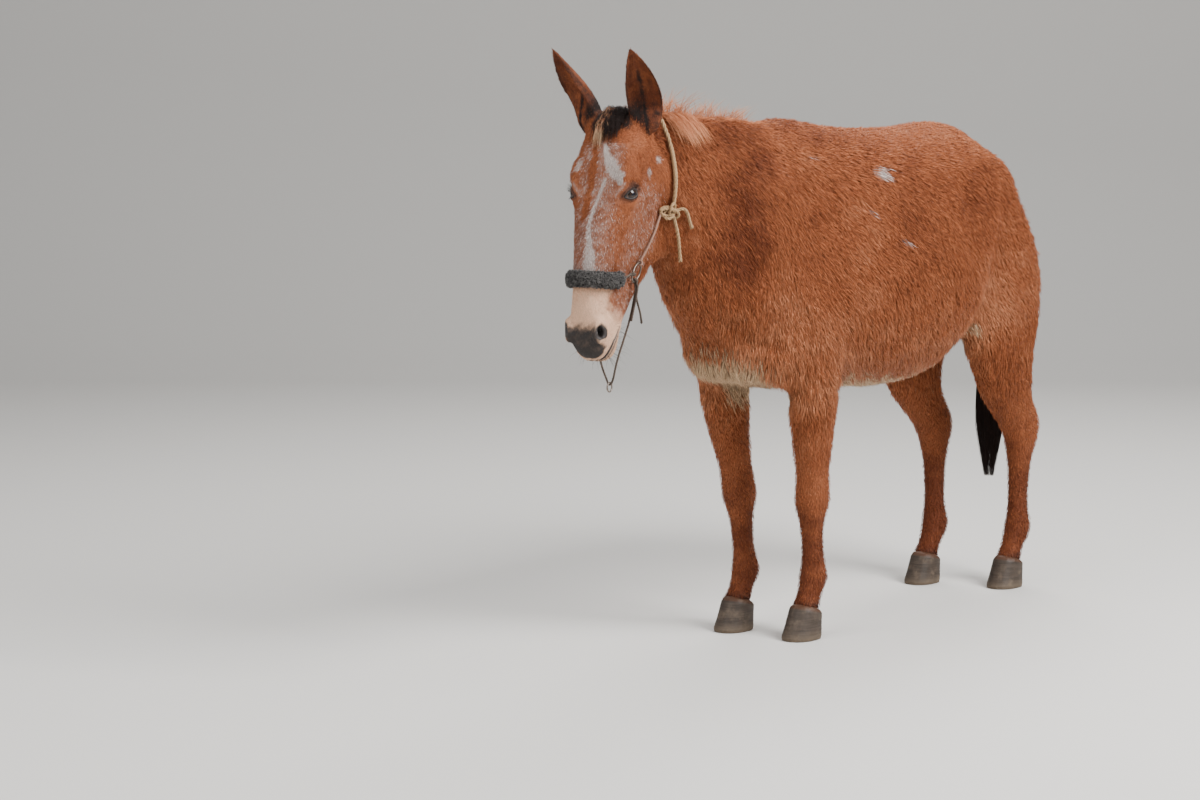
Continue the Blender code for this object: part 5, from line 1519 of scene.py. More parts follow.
def hoof_mesh(node):
    """A hoof on its solid's shape, with growth rings, a rolled coronet and a worn edge."""
    bm = remeshed(node_copy(node), HOOF_VOXEL)
    made = Skin(bm)
    bm.free()
    made.soften(3)
    points = made.points
    x, y = FEET[FEET_NODES[node]]
    down = -((points - (x, y, HOOF_HEIGHT)) @ CORONET_WAY)
    wall = smooth_share(0.45, 0.20, np.abs(made.normals[:, 2]))
    rings = np.zeros(len(points))
    for apart, sway, scale, seed, share in GROWTH_RINGS:
        rings += np.sin(down * 2 * math.pi / apart + sway * ripple(points, scale, seed)) * share
    height = wall * rings * 0.0007 * smooth_share(0.004, 0.014, down)
    height += wall * 0.0008 * hump(down, 0.004, 0.004)
    height -= wall * 0.0010 * smooth_share(0.010, 0.002, points[:, 2]) * (1 + ripple(points, 0.012, 73))
    base = made.normals[:, 2] < -0.5
    made.push(np.where(base, 0.0, height - 0.0006))
    made.points[:, 2] = np.maximum(made.points[:, 2], 0.0)
    points = made.points
    away = points - (x, y, HOOF_HEIGHT)
    top = smooth_share(-0.003, 0.000, away @ CORONET_WAY)
    aside = away - np.outer(away @ CORONET_WAY, CORONET_WAY)
    reach = np.linalg.norm(aside, axis=1) / 0.050
    points += np.outer(top * 0.017 * np.clip(1.15 - reach**2, 0, 1), CORONET_WAY)
    return mesh_from_arrays(node, made.points, made.faces, None, {"down": down})


def hoof_material():
    """Dark horn with finer grain down the wall, growth rings and dust at the ground."""
    look = bpy.context.scene.mule_hoof
    shader = Shader("hoof")
    down = shader.attribute("down")
    grain = shader.noise(1.0, 3, 0.7, shader.stretched((700, 700, 40)))
    patches = shader.noise(28, 4, 0.6)
    rings = shader.noise(1.0, 2, 0.5, shader.stretched((14, 14, 210)))
    colour = shader.mix((grain * 0.5 + patches * 0.7 - 0.1).clamped(), look.dark, look.light)
    colour = shader.shaded(colour, 0.35 + rings * 1.2)
    colour = shader.mix(down.eased(0.007, -0.001), colour, look.coronet)
    dust = (shader.z.eased(0.035, 0.0) * 0.5 + patches.eased(0.52, 0.72) * 0.35).clamped()
    colour = shader.mix(dust, colour, look.dust)
    shader.set(Base_Color=colour, Roughness=0.52 + dust * 0.35, Specular_IOR_Level=0.22)
    shader.bump(grain * 0.6 + rings * 0.4, 0.35, 0.0008)
    return shader.material


# The halter. Its routes lie on the solids' flesh, as the solids' own halter does.

ROPE_RADIUS = 0.0060
ROPE_LIFT = 0.0053
CHEEK_LIFT = 0.006
CORD_RADIUS = 0.0040
RING_WIRE = 0.0026
RING_LENGTH = 0.029
RING_WIDTH = 0.021
RING_PLACE = (0.404, -0.150)
KNOT_PLACE = (0.211, -0.232)
CHEEK_START = (0.222, -0.194)
CROWN_MIDDLE = Vector((-0.7481, 0, 1.42))
CHIN_CORD = ((0.453, 0.066, -0.165), (0.537, 0.050, -0.182), (0.644, 0.028, -0.184), (0.700, 0.010, -0.204))
CHIN_BOTTOM = (0.714, 0.0, -0.207)
STRAP_END = ((0.477, 0.066, -0.180), (0.505, 0.058, -0.222), (0.530, 0.054, -0.246))


@cache
def flesh_tree(*names):
    """The solids' flesh as a tree, for what lies on it."""
    bm = joined_nodes(names, 0.0)
    tree = BVHTree.FromBMesh(bm)
    bm.free()
    return tree


def smooth_path(points, steps):
    """A path through the points with steps to each stretch, by Catmull-Rom."""
    points = [Vector(p) for p in points]
    padded = [points[0] * 2 - points[1]] + points + [points[-1] * 2 - points[-2]]
    path = []
    for a, b, c, d in zip(padded, padded[1:], padded[2:], padded[3:]):
        for i in range(steps):
            t = i / steps
            curve = (2 * a - 5 * b + 4 * c - d) * t**2 + (3 * b - a - 3 * c + d) * t**3
            path.append(0.5 * (2 * b + (c - a) * t + curve))
    return path + [points[-1]]


def evenly(path, step):
    """The path's points again, a step apart."""
    path = np.array([tuple(p) for p in path])
    length = np.concatenate([[0], np.cumsum(np.linalg.norm(np.diff(path, axis=0), axis=1))])
    count = max(int(length[-1] / step), 2) + 1
    at = np.linspace(0, length[-1], count)
    return np.stack([np.interp(at, length, path[:, k]) for k in range(3)], 1), length[-1]


def laid(points, lift, steps=6):
    """A rope's path through the points, kept out of the flesh."""
    path = []
    for point in smooth_path(points, steps):
        near, normal = flesh_tree("head", "neck").find_nearest(point)[:2]
        if (point - near).dot(normal) < lift:
            point = near + normal * lift
        path.append(point)
    return path


def cheek_point(side, down, out, lift):
    """A place over the cheek, by its head coordinates and its lift off the flesh, and the way out there."""
    start = at_head(down, -side * 0.4, out)
    hit, normal = flesh_tree("head").ray_cast(start, TO_LEFT * side)[:2]
    return hit + normal * lift, normal


def ring_frame(side):
    """A cheek ring's middle, and its turn: Z out of the cheek, X along its length."""
    middle, normal = cheek_point(side, *RING_PLACE, RING_WIRE + 0.0055)
    length = cheek_point(side, *KNOT_PLACE, 0.0)[0] - middle
    length = (length - normal * length.dot(normal)).normalized()
    return middle, Matrix((length, normal.cross(length), normal)).transposed()


def frames_along(middles, start):
    """The two ways across a path at each of its points, turned as little as can be along it."""
    way = unit(np.gradient(middles, axis=0))
    across = [np.cross(way[0], start)]
    for direction in way[1:]:
        last = across[-1] - direction * (across[-1] @ direction)
        across.append(last / np.linalg.norm(last))
    across = unit(np.array(across))
    return across, np.cross(way, across)


class Cordage:
    """Laid cords joined into one mesh, each of a few strands twisted round its path."""

    def __init__(self):
        self.points = []
        self.faces = []
        self.total = 0

    def tube(self, middles, radius, sides):
        across, other = frames_along(middles, (0.31, 0.52, 0.79))
        angles = (2 * math.pi * np.arange(sides) / sides)[None, :, None]
        rings = across[:, None] * np.cos(angles) + other[:, None] * np.sin(angles)
        points = (middles[:, None] + rings * radius).reshape(-1, 3)
        ends = np.stack([middles[0], middles[-1]])
        rows = len(middles)
        faces = wall_faces(rows, sides)
        first, last = rows * sides, rows * sides + 1
        for k in range(sides):
            faces.append((first, (k + 1) % sides, k))
            faces.append((last, (rows - 1) * sides + k, (rows - 1) * sides + (k + 1) % sides))
        self.points.append(np.concatenate([points, ends]))
        self.faces.append(np.array(faces) + self.total)
        self.total += len(points) + 2

    def cord(self, path, radius, pitch=3.6, fray=0.0):
        """Three strands laid round each other along a path, with frayed ends if wanted."""
        middles, length = evenly(path, radius * pitch / 5)
        across, other = frames_along(middles, (0.13, 0.64, 0.76))
        run = np.linspace(0, length, len(middles))
        for strand in range(3):
            turn = 2 * math.pi * (run / (radius * 2 * pitch) + strand / 3)[:, None]
            apart = radius * 0.50 * (1 + fray * smooth_share(length - radius * 5, length, run))
            offset = (across * np.cos(turn) + other * np.sin(turn)) * apart[:, None]
            self.tube(middles + offset, radius * 0.52, 7)

    def loop(self, side, towards, radius=0.0030):
        """Turns of cord round the wire of a cheek ring, and the point where the cord leaves."""
        middle, turn = ring_frame(side)
        aim = turn.transposed() @ (towards - middle)
        angle = math.atan2(aim.y / RING_WIDTH, aim.x / RING_LENGTH)
        outward = Vector((math.cos(angle) * RING_WIDTH, math.sin(angle) * RING_LENGTH, 0)).normalized()
        wire = Vector((math.cos(angle) * RING_LENGTH, math.sin(angle) * RING_WIDTH, 0))
        reach = RING_WIRE + 0.0008 + radius
        along = UP.cross(outward)
        path = []
        for t in np.linspace(0, 1, 37):
            a = 4 * math.pi * t
            coil = outward * math.cos(a) * reach + UP * math.sin(a) * reach
            path.append(middle + turn @ (wire + coil + along * (t - 0.5) * radius * 2.4))
        self.cord(path, radius * 0.95, 3.0)
        return middle + turn @ (wire + outward * (reach + radius * 0.4))

    def mesh(self, name):
        return mesh_from_arrays(name, np.concatenate(self.points), np.concatenate(self.faces))


# The fleece's sleeve, as half its size across the nose and out of it, and its wool: length, width, depth
SLEEVE_SIDES = 28
SLEEVE_WIDTH = 0.0195
SLEEVE_DEPTH = 0.0095
WOOL = (0.0074, 0.0020, 0.0034)
WOOL_DENSITY = 230000.0


def noseband_path():
    """The sleeve's middle line over the nose from right to left, and the ways out of the face there."""
    path, normals = [], []
    for i in range(49):
        angle = math.radians(82) * (2 * i / 48 - 1)
        u = 0.462 - 0.030 * (angle / math.radians(90)) ** 2
        way = TO_LEFT * math.sin(angle) + OUT_OF_FACE * math.cos(angle)
        hit, normal = flesh_tree("head").ray_cast(at_head(u, 0, -0.09) + way * 0.4, -way)[:2]
        path.append(np.array(hit + normal * 0.0094))
        normals.append(np.array(normal))
    return np.array(path), np.array(normals)


def fleece_tube():
    """The fleece's body: a soft, lumpy sleeve over the nose, rounded at its ends."""
    path, normals = noseband_path()
    for _ in range(3):
        normals[1:-1] = (normals[:-2] + normals[1:-1] * 2 + normals[2:]) / 4
        path[1:-1] = (path[:-2] + path[1:-1] * 2 + path[2:]) / 4
    normals = unit(normals)
    way = unit(np.gradient(path, axis=0))
    across = np.cross(way, normals)
    rings = []
    for i in range(len(path)):
        share = i / (len(path) - 1)
        end = min(1.0, math.sqrt(max(0.02, 1 - max(0.0, 1 - 9 * min(share, 1 - share)) ** 2)))
        ring = []
        for k in range(SLEEVE_SIDES):
            angle = 2 * math.pi * k / SLEEVE_SIDES
            reach = end * (1 + 0.05 * math.sin(i * 1.7 + k) + 0.04 * math.sin(k * 2.3 - i * 0.9))
            flat = across[i] * math.cos(angle) * SLEEVE_WIDTH + normals[i] * math.sin(angle) * SLEEVE_DEPTH
            ring.append(path[i] + flat * reach)
        rings.append(ring)
    return lofted(rings)


def wool_clumps(points):
    """Where the wool lies in lighter and darker clumps."""
    return ripple(points, 0.010, 59)


def fleece_curls(sleeve):
    """Short curled tufts of wool all over the sleeve."""
    draw_way = np.random.default_rng(57).normal(size=(len(sleeve.points), 3))
    roots = Roots(sleeve, np.full(len(sleeve.points), WOOL_DENSITY), 58, 1.0)
    way = unit(np.cross(roots.normals, roots.read(draw_way) + roots.draw.normal(size=roots.points.shape)))
    marks = {"clump": wool_clumps(roots.points)}
    return tufts("noseband_wool", roots, way, *WOOL, 0.5, np.full((len(roots), 2), 0.5), marks, 2)


def crown_path():
    """The crown rope's line, from the left cheek over the poll to the right one."""
    points = []
    for side in (-1, 1):
        half = []
        for i in range(15):
            angle = math.radians(-56 + 141 * i / 14)
            way = Vector((0, side * math.cos(angle), math.sin(angle)))
            hit, normal = flesh_tree("head", "neck").ray_cast(CROWN_MIDDLE + way * 0.5, -way)[:2]
            half.append(hit + normal * ROPE_LIFT)
        points += half if side == -1 else list(reversed(half))
    return laid(points, ROPE_LIFT, 2)


# How far the loose ends of a knot bend away from it
KNOT_ENDS = (
    ((0.014, 0.008, -0.060), (0.030, 0.004, -0.140)),
    ((0.038, 0.014, 0.006), (0.066, 0.012, -0.046)),
)


def knot_cords(cordage, side):
    """A bulky knot of several loops behind the cheek, with its loose ends."""
    middle, normal = cheek_point(side, *KNOT_PLACE, 0.010)
    front = cheek_point(side, *CHEEK_START, CHEEK_LIFT)[0]
    length = (front - middle).normalized()
    normal = (normal - length * normal.dot(length)).normalized()
    turn = Matrix((length, normal.cross(length), normal)).transposed()
    path = []
    for i in range(61):
        a = 2 * math.pi * i / 60
        x = (math.sin(a) + 2 * math.sin(2 * a)) * 0.0084 + 0.004
        y = (math.cos(a) - 2 * math.cos(2 * a)) * 0.0086
        path.append(middle + turn @ Vector((x, y, -math.sin(3 * a) * 0.0056 + 0.003)))
    cordage.cord(path, ROPE_RADIUS * 0.80)
    reach = (front - middle).length / 2
    for lift, wide in ((0.0, 0.014), (0.004, 0.010)):
        oval = []
        for i in range(33):
            a = 2 * math.pi * i / 32
            at = Vector((math.cos(a) * (reach + 0.005), math.sin(a) * wide, lift + 0.002 * math.sin(2 * a)))
            oval.append(middle.lerp(front, 0.5) + turn @ at)
        cordage.cord(oval, ROPE_RADIUS * 0.72)
    for bends in KNOT_ENDS:
        points = [middle] + [middle + Vector((x, side * y, z)) for x, y, z in bends]
        cordage.cord(laid(points, ROPE_RADIUS + 0.001, 8), ROPE_RADIUS * 0.86, fray=0.35)


def cord_material(name, dark, light, stain=0.4):
    """Twisted fibre: fine pale and dark hairs and worn darker patches."""
    shader = Shader(name)
    fibres = shader.noise(1.0, 3, 0.75, shader.stretched((900, 900, 420)))
    patches = shader.noise(34, 3, 0.6)
    colour = shader.mix(fibres.eased(0.25, 0.75), dark, light)
    colour = shader.shaded(colour, 1.0 - patches.eased(0.48, 0.75) * stain)
    shader.set(Base_Color=colour, Roughness=0.88, Specular_IOR_Level=0.2)
    shader.bump(fibres, 0.6, 0.0008)
    return shader.material


def ring_mesh(name, middle, turn, reach_x, reach_y, wire):
    """A round wire spun into a ring, drawn to an oval, with a worn joint."""
    bm = bmesh.new()
    made = bmesh.ops.create_circle(bm, segments=14, radius=wire)
    bmesh.ops.rotate(bm, verts=made["verts"], cent=(0, 0, 0), matrix=Matrix.Rotation(math.pi / 2, 3, "X"))
    bmesh.ops.translate(bm, verts=made["verts"], vec=(reach_y, 0, 0))
    bmesh.ops.spin(bm, geom=bm.verts[:] + bm.edges[:], cent=(0, 0, 0), axis=(0, 0, 1), angle=2 * math.pi,
                   steps=64, use_merge=True)
    for v in bm.verts:
        angle = math.atan2(v.co.y, v.co.x)
        round_it = Vector((math.cos(angle), math.sin(angle), 0)) * reach_y
        joint = 1 + 0.42 * math.exp(-(((angle - 1.9) / 0.10) ** 2))
        v.co = round_it + (v.co - round_it) * joint + Vector((round_it.x * (reach_x / reach_y - 1), 0, 0))
    bmesh.ops.transform(bm, matrix=Matrix.Translation(middle) @ turn.to_4x4(), verts=bm.verts)
    bmesh.ops.remove_doubles(bm, verts=bm.verts, dist=0.00001)
    bmesh.ops.recalc_face_normals(bm, faces=bm.faces)
    return object_from(bm, name)


def steel_material():
    """Dulled steel with brown tarnish and fine scratches."""
    shader = Shader("worn_steel")
    patches = shader.noise(260, 4, 0.65)
    scratches = shader.noise(1.0, 2, 0.6, shader.stretched((2400, 2400, 500)))
    rust = patches.eased(0.50, 0.68)
    colour = shader.mix(rust, bpy.context.scene.mule_halter.steel, (0.105, 0.060, 0.036))
    shader.set(Base_Color=colour, Metallic=1 - rust * 0.75, Roughness=0.30 + rust * 0.4 + scratches * 0.15)
    shader.bump(scratches + rust * 0.6, 0.25, 0.0003)
    return shader.material


def wool_material():
    """Dark wool in lighter and darker clumps, with painted shade at the roots of its curls and paler tips.
    """
    look = bpy.context.scene.mule_halter
    shader = Shader("fleece")
    along = shader.attribute("along")
    shade = shader.attribute("shade")
    clump = shader.attribute("clump")
    fine = shader.noise(420, 2, 0.6)
    light = (shade * 0.55 + clump * 0.22 + fine * 0.5 - 0.1).clamped()
    colour = shader.mix(light, look.fleece_dark, look.fleece_light)
    # Painted shade: darker at the curls' roots and on the sleeve under them, lighter towards their tips.
    colour = shader.shaded(colour, 0.55 + along * 0.75)
    shader.set(Base_Color=colour, Roughness=0.95, Specular_IOR_Level=0.15)
    return shader.material


# Settings


def colour_setting(name, description, default):
    return FloatVectorProperty(name=name, description=description, default=default, size=3,
                               subtype="COLOR", min=0.0, max=1.0)


def length_setting(name, description, default):
    return FloatProperty(name=name, description=description, default=default, min=0.0, subtype="DISTANCE",
                         unit="LENGTH")


def count_setting(name, description, default):
    return IntProperty(name=name, description=description, default=default, min=1)


class MuleCoatSettings(bpy.types.PropertyGroup):
    """Colours and lengths of the coat."""

    deep_red: colour_setting("Deep red", "The darkest red of the coat", (0.155, 0.038, 0.013))
    red: colour_setting("Red", "The coat's main colour", (0.330, 0.098, 0.036))
    light_red: colour_setting("Light red", "The lightest red, low on the barrel", (0.500, 0.195, 0.092))
    pale: colour_setting("Pale", "The fringe under the brisket, belly and flanks", (0.540, 0.365, 0.220))
    white: colour_setting("White", "The white hairs of the face", (0.600, 0.520, 0.480))
    cream: colour_setting("Cream", "The muzzle", (0.800, 0.500, 0.335))
    dark: colour_setting("Dark", "Ear rims, forelock and tail", (0.018, 0.010, 0.008))
    grey: colour_setting("Grey", "The bare skin round the nostrils and lips", (0.045, 0.038, 0.036))
    length: FloatProperty(name="Length", description="Length of the hair, as a share of its own",
                          default=1.0, min=0.3, max=2.0, subtype="FACTOR")
    density: FloatProperty(name="Density", description="Number of tufts, as a share of their own",
                           default=1.0, min=0.1, max=1.0, subtype="FACTOR")


class MuleHairSettings(bpy.types.PropertyGroup):
    """Numbers and lengths of the mane's, forelock's and tail's strands."""

    mane_tufts: count_setting("Mane tufts", "Upright tufts along the crest", 34)
    mane_length: length_setting("Mane length", "Height of the tallest tufts", 0.100)
    crest_hairs: count_setting("Crest hairs", "Short strands along the crest", 1300)
    lock_hairs: count_setting("Lock hairs", "Strands of the lock behind the left ear", 380)
    lock_length: length_setting("Lock length", "Length of the lock behind the left ear", 0.155)
    forelock_hairs: count_setting("Forelock hairs", "Strands between the ears", 1100)
    tail_hairs: count_setting("Tail hairs", "Strands of the tail", 2200)


class MuleEyeSettings(bpy.types.PropertyGroup):
    """Colours of the eyes."""

    iris: colour_setting("Iris", "The lighter brown of the iris", (0.035, 0.016, 0.008))
    iris_dark: colour_setting("Dark iris", "The darker brown of the iris", (0.010, 0.005, 0.003))
    white: colour_setting("White of the eye", "The brownish white in the corners", (0.090, 0.055, 0.042))


class MuleHoofSettings(bpy.types.PropertyGroup):
    """Colours of the hooves."""

    dark: colour_setting("Dark horn", "The darkest horn", (0.022, 0.017, 0.014))
    light: colour_setting("Light horn", "The lightest horn", (0.085, 0.062, 0.046))
    coronet: colour_setting("Coronet", "The band under the hair", (0.070, 0.030, 0.016))
    dust: colour_setting("Dust", "Dry earth near the ground", (0.170, 0.125, 0.085))


class MuleHalterSettings(bpy.types.PropertyGroup):
    """Colours of the halter."""

    rope: colour_setting("Rope", "The pale fibres of the crown rope", (0.480, 0.310, 0.165))
    rope_dark: colour_setting("Dark rope", "The crown rope's darker fibres", (0.200, 0.120, 0.062))
    cheek: colour_setting("Cheek cord", "The pinkish cord down the cheek", (0.430, 0.260, 0.190))
    cheek_dark: colour_setting("Dark cheek cord", "The cheek cord's darker fibres", (0.150, 0.075, 0.052))
    chin: colour_setting("Chin cord", "The dark cord under the chin", (0.150, 0.115, 0.090))
    chin_dark: colour_setting("Dark chin cord", "The chin cord's darker fibres", (0.035, 0.024, 0.020))
    fleece_dark: colour_setting("Dark fleece", "The noseband's darkest wool", (0.016, 0.015, 0.016))
    fleece_light: colour_setting("Light fleece", "The noseband's lightest wool", (0.200, 0.188, 0.178))
    steel: colour_setting("Steel", "The rings", (0.200, 0.165, 0.140))


class MuleStageSettings(bpy.types.PropertyGroup):
    """The backdrop's colour and the strength of the lights."""

    backdrop: colour_setting("Backdrop", "The floor and backdrop", (0.62, 0.60, 0.57))
    light: FloatProperty(name="Light", description="Strength of the studio lights, as a share of their own",
                         default=1.0, min=0.0, max=4.0, subtype="FACTOR")


class MULE_OT_skin(bpy.types.Operator):
    """Adds the skin, one closed surface over the whole animal."""

    bl_idname = "mule.skin"
    bl_label = "Skin"

    def execute(self, context):
        skin = the_skin()
        marks = markings_and_shade(skin.points, skin.normals, skin.shares)
        foot = above_coronet(skin.points)
        marks["bare"] = np.clip(1 - skin.sizes[:, 3] / (HAIR["leg"][3] * 0.9), 0, 1) * (foot > 0.01)
        obj = add_object("skin", mesh_from_arrays("skin", skin.points, skin.faces, None, marks))
        dressed(obj, skin_material(), "coat", *FLESH, *EARS)
        return {"FINISHED"}


class MULE_OT_coat(bpy.types.Operator):
    """Adds the coat's tufts over the skin, piece by piece."""

    bl_idname = "mule.coat"
    bl_label = "Coat"

    def execute(self, context):
        skin = the_skin()
        for number, name in enumerate(COATS):
            dressed(add_object(name, coat_piece(skin, name, number)), coat_material(), "coat")
        return {"FINISHED"}


class MULE_OT_eyes(bpy.types.Operator):
    """Adds both eyeballs behind their lids."""

    bl_idname = "mule.eyes"
    bl_label = "Eyes"

    def execute(self, context):
        for name, side in SIDES.items():
            dressed(eyeball("eyeball_" + name, side), eye_material(), "eye_gloss", "eye_" + name)
        return {"FINISHED"}


class MULE_OT_mane(bpy.types.Operator):
    """Adds the mane, the lock behind the left ear, the forelock, lashes and whiskers."""

    bl_idname = "mule.mane"
    bl_label = "Mane and forelock"

    def execute(self, context):
        draw = np.random.default_rng(81)
        share = np.linspace(0, 1, HAIR_STEPS)[None]
        upright, pale = mane_paths(draw, HAIR_STEPS)
        hanging = hanging_paths(draw, HAIR_STEPS)
        crest = np.concatenate([upright, hanging])
        fair = np.concatenate([pale, draw.uniform(0.3, 0.9, len(hanging))])[:, None]
        marks = {
            "light": 0.45 + fair * 0.4 + 0.35 * share,
            "pale": fair * share * 0.50,
            "dark": 0.25 * (1 - share) * (1 - fair),
        }
        patches = unwrapped(crest[:, 0], *CREST_AXIS)
        mesh = strands("mane", crest, MANE_WIDTH, FACING, patches, marks, draw)
        dressed(add_object("mane", mesh), coat_material(), "coat")
        brow, fair = forelock_paths(draw, HAIR_STEPS)
        fair = fair[:, None]
        marks = {
            "light": fair * 0.9 + 0.05 + 0 * share,
            "pale": fair * smooth_share(0.35, 0.8, share),
            "dark": 1 - fair * smooth_share(0.2, 0.6, share),
        }
        patches = unwrapped(brow[:, 0], *CREST_AXIS)
        mesh = strands("forelock", brow, FORELOCK_WIDTH, FACING, patches, marks, draw)
        dressed(add_object("forelock", mesh), coat_material(), "dark_hair")
        fine = face_hair_paths(draw)
        patches = unwrapped(fine[:, 0], *CREST_AXIS)
        mesh = strands("lashes", fine, LASH_WIDTH, FACING, patches, {"dark": 1.0}, draw)
        dressed(add_object("lashes", mesh), coat_material(), "dark_hair")
        return {"FINISHED"}


class MULE_OT_tail(bpy.types.Operator):
    """Adds the tail's dock and its hanging strands."""

    bl_idname = "mule.tail"
    bl_label = "Tail"

    def execute(self, context):
        draw = np.random.default_rng(83)
        dock = tail_dock()
        down = smooth_share(1.34, 1.18, dock.points[:, 2])
        marks = {"light": 0.4 * (1 - down), "dark": 0.10 + 0.90 * down}
        obj = add_object("tail_dock", mesh_from_arrays("tail_dock", dock.points, dock.faces, None, marks))
        dressed(obj, skin_material(), "dark_hair", "tail")
        middles = dock.points.reshape(-1, DOCK_SIDES, 3).mean(1)
        lie = np.repeat(unit(np.gradient(middles, axis=0)), DOCK_SIDES, axis=0)
        roots = Roots(dock, np.full(len(dock.points), DOCK_DENSITY), 84, 1.0)
        own = {label: roots.read(values) for label, values in marks.items()}
        patches = unwrapped(roots.points, *TAIL_AXIS)
        mesh = tufts("tail_coat", roots, unit(roots.read(lie)), *DOCK_HAIR, 0.10, patches, own)
        dressed(add_object("tail_coat", mesh), coat_material(), "coat")
        paths, share = tail_paths(draw, TAIL_STEPS)
        top = smooth_share(1.36, 1.22, paths[:, :, 2])
        rust = draw.random((len(paths), 1)) ** 3
        marks = {
            "light": 0.45 * (1 - top) + 0 * share,
            "dark": np.clip(0.30 + 0.70 * top + 0.3 * share - 0.35 * rust * share, 0, 1),
        }
        patches = unwrapped(paths[:, 0], *TAIL_AXIS)
        mesh = strands("tail_strands", paths, TAIL_WIDTH, TAIL_FACING, patches, marks, draw, TAIL_TAPER)
        dressed(add_object("tail_strands", mesh), coat_material(), "dark_hair")
        return {"FINISHED"}


class MULE_OT_hooves(bpy.types.Operator):
    """Adds the four hooves."""

    bl_idname = "mule.hooves"
    bl_label = "Hooves"

    def execute(self, context):
        material = hoof_material()
        for node in FEET_NODES:
            name = node.replace("hoof", "horn")
            dressed(add_object(name, hoof_mesh(node)), material, "hoof_horn", node)
        return {"FINISHED"}


class MULE_OT_noseband(bpy.types.Operator):
    """Adds the fleece noseband with the cords that tie it to the rings."""

    bl_idname = "mule.noseband"
    bl_label = "Noseband"

    def execute(self, context):
        sleeve = fleece_tube()
        marks = {"clump": wool_clumps(sleeve.points), "shade": np.full(len(sleeve.points), 0.1)}
        mesh = mesh_from_arrays("noseband_sleeve", sleeve.points, sleeve.faces, None, marks)
        wool = wool_material()
        dressed(add_object("noseband_sleeve", mesh), wool, "dark_fleece", "noseband")
        dressed(add_object("noseband_wool", fleece_curls(sleeve)), wool, "dark_fleece")
        ties = Cordage()
        path = noseband_path()[0]
        for side, end, inner in ((1, path[0], path[6]), (-1, path[-1], path[-7])):
            tie = ties.loop(side, Vector(end))
            ties.cord(laid([inner, end, tie], CORD_RADIUS, 6), CORD_RADIUS * 0.9)
        look = context.scene.mule_halter
        material = cord_material("dark_tie", look.chin_dark, look.chin)
        dressed(add_object("noseband_ties", ties.mesh("noseband_ties")), material, "dark_cord")
        return {"FINISHED"}


class MULE_OT_ropes(bpy.types.Operator):
    """Adds the crown rope with its knots, and the cheek cords."""

    bl_idname = "mule.ropes"
    bl_label = "Ropes"

    def execute(self, context):
        look = context.scene.mule_halter
        crown = Cordage()
        path = crown_path()
        crown.cord(path, ROPE_RADIUS)
        for start, end in ((0.07, 0.34), (0.66, 0.93)):
            sleeve = path[int(len(path) * start):int(len(path) * end)]
            crown.cord(sleeve, ROPE_RADIUS * 1.12, 2.2)
        for side in SIDES.values():
            knot_cords(crown, side)
        rope = cord_material("pale_rope", look.rope_dark, look.rope, 0.35)
        dressed(add_object("crown_cord", crown.mesh("crown_cord")), rope, "pale_rope", "crown_rope")
        material = cord_material("cheek_cord", look.cheek_dark, look.cheek)
        for name, side in SIDES.items():
            cheek = Cordage()
            upper = cheek_point(side, *CHEEK_START, CHEEK_LIFT)[0]
            tie = cheek.loop(side, upper)
            middle = cheek_point(side, 0.300, -0.176, CORD_RADIUS)[0]
            cheek.cord(laid([upper, middle, tie], CORD_RADIUS, 12), CORD_RADIUS * 0.92)
            piece = add_object("cheek_cord_" + name, cheek.mesh("cheek_cord_" + name))
            dressed(piece, material, "pale_rope", "cheek_rope_" + name)
        return {"FINISHED"}


class MULE_OT_rings(bpy.types.Operator):
    """Adds the cheek rings and the small ring under the chin."""

    bl_idname = "mule.rings"
    bl_label = "Rings"

    def execute(self, context):
        steel = steel_material()
        for name, side in SIDES.items():
            middle, turn = ring_frame(side)
            ring = ring_mesh("steel_ring_" + name, middle, turn, RING_LENGTH, RING_WIDTH, RING_WIRE)
            dressed(ring, steel, "steel_ring", "ring_" + name)
        low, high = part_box("ring_chin")
        middle = (Vector(low) + Vector(high)) / 2
        reach = (high[2] - low[2]) / 2 - RING_WIRE * 0.8
        turn = Matrix((Vector((0, 0, 1)), Vector((-1, 0, 0)), Vector((0, 1, 0)))).transposed()
        turn = Matrix.Rotation(HEAD_YAW, 3, "Z") @ turn
        ring = ring_mesh("steel_ring_chin", middle, turn, reach, reach, RING_WIRE * 0.8)
        dressed(ring, steel, "steel_ring", "ring_chin")
        return {"FINISHED"}


class MULE_OT_chin(bpy.types.Operator):
    """Adds the slack cord under the chin and the strap's loose end."""

    bl_idname = "mule.chin"
    bl_label = "Chin cord"

    def execute(self, context):
        look = context.scene.mule_halter
        radius = CORD_RADIUS * 0.80
        ties, halves = Cordage(), []
        for side in SIDES.values():
            points = [at_head(u, -side * v, w) for u, v, w in CHIN_CORD]
            halves.append([ties.loop(side, points[0])] + points)
            ties.cord(laid([p + TO_LEFT * -side * 0.006 for p in halves[-1][:3]], radius, 8), radius)
        strap = [halves[0][0]] + [at_head(*p) for p in STRAP_END]
        ties.cord(laid(strap, CORD_RADIUS, 8), radius, fray=0.4)
        material = cord_material("chin_twine", look.chin_dark, look.chin)
        dressed(add_object("chin_ties", ties.mesh("chin_ties")), material, "dark_cord")
        whole = halves[0] + [at_head(*CHIN_BOTTOM)] + list(reversed(halves[1]))
        path, length = evenly(laid(whole, CORD_RADIUS, 8), radius * 1.5)
        twine = Cordage()
        twine.cord(path, radius)
        piece = add_object("chin_twine", twine.mesh("chin_twine"))
        dressed(piece, material, "dark_cord", "chin_cord")
        return {"FINISHED"}


class MULE_OT_stage(bpy.types.Operator):
    """Adds the pale floor and backdrop, the soft studio lights and the camera."""

    bl_idname = "mule.stage"
    bl_label = "Stage"

    def execute(self, context):
        place_floor()
        place_lights()
        place_camera()
        return {"FINISHED"}


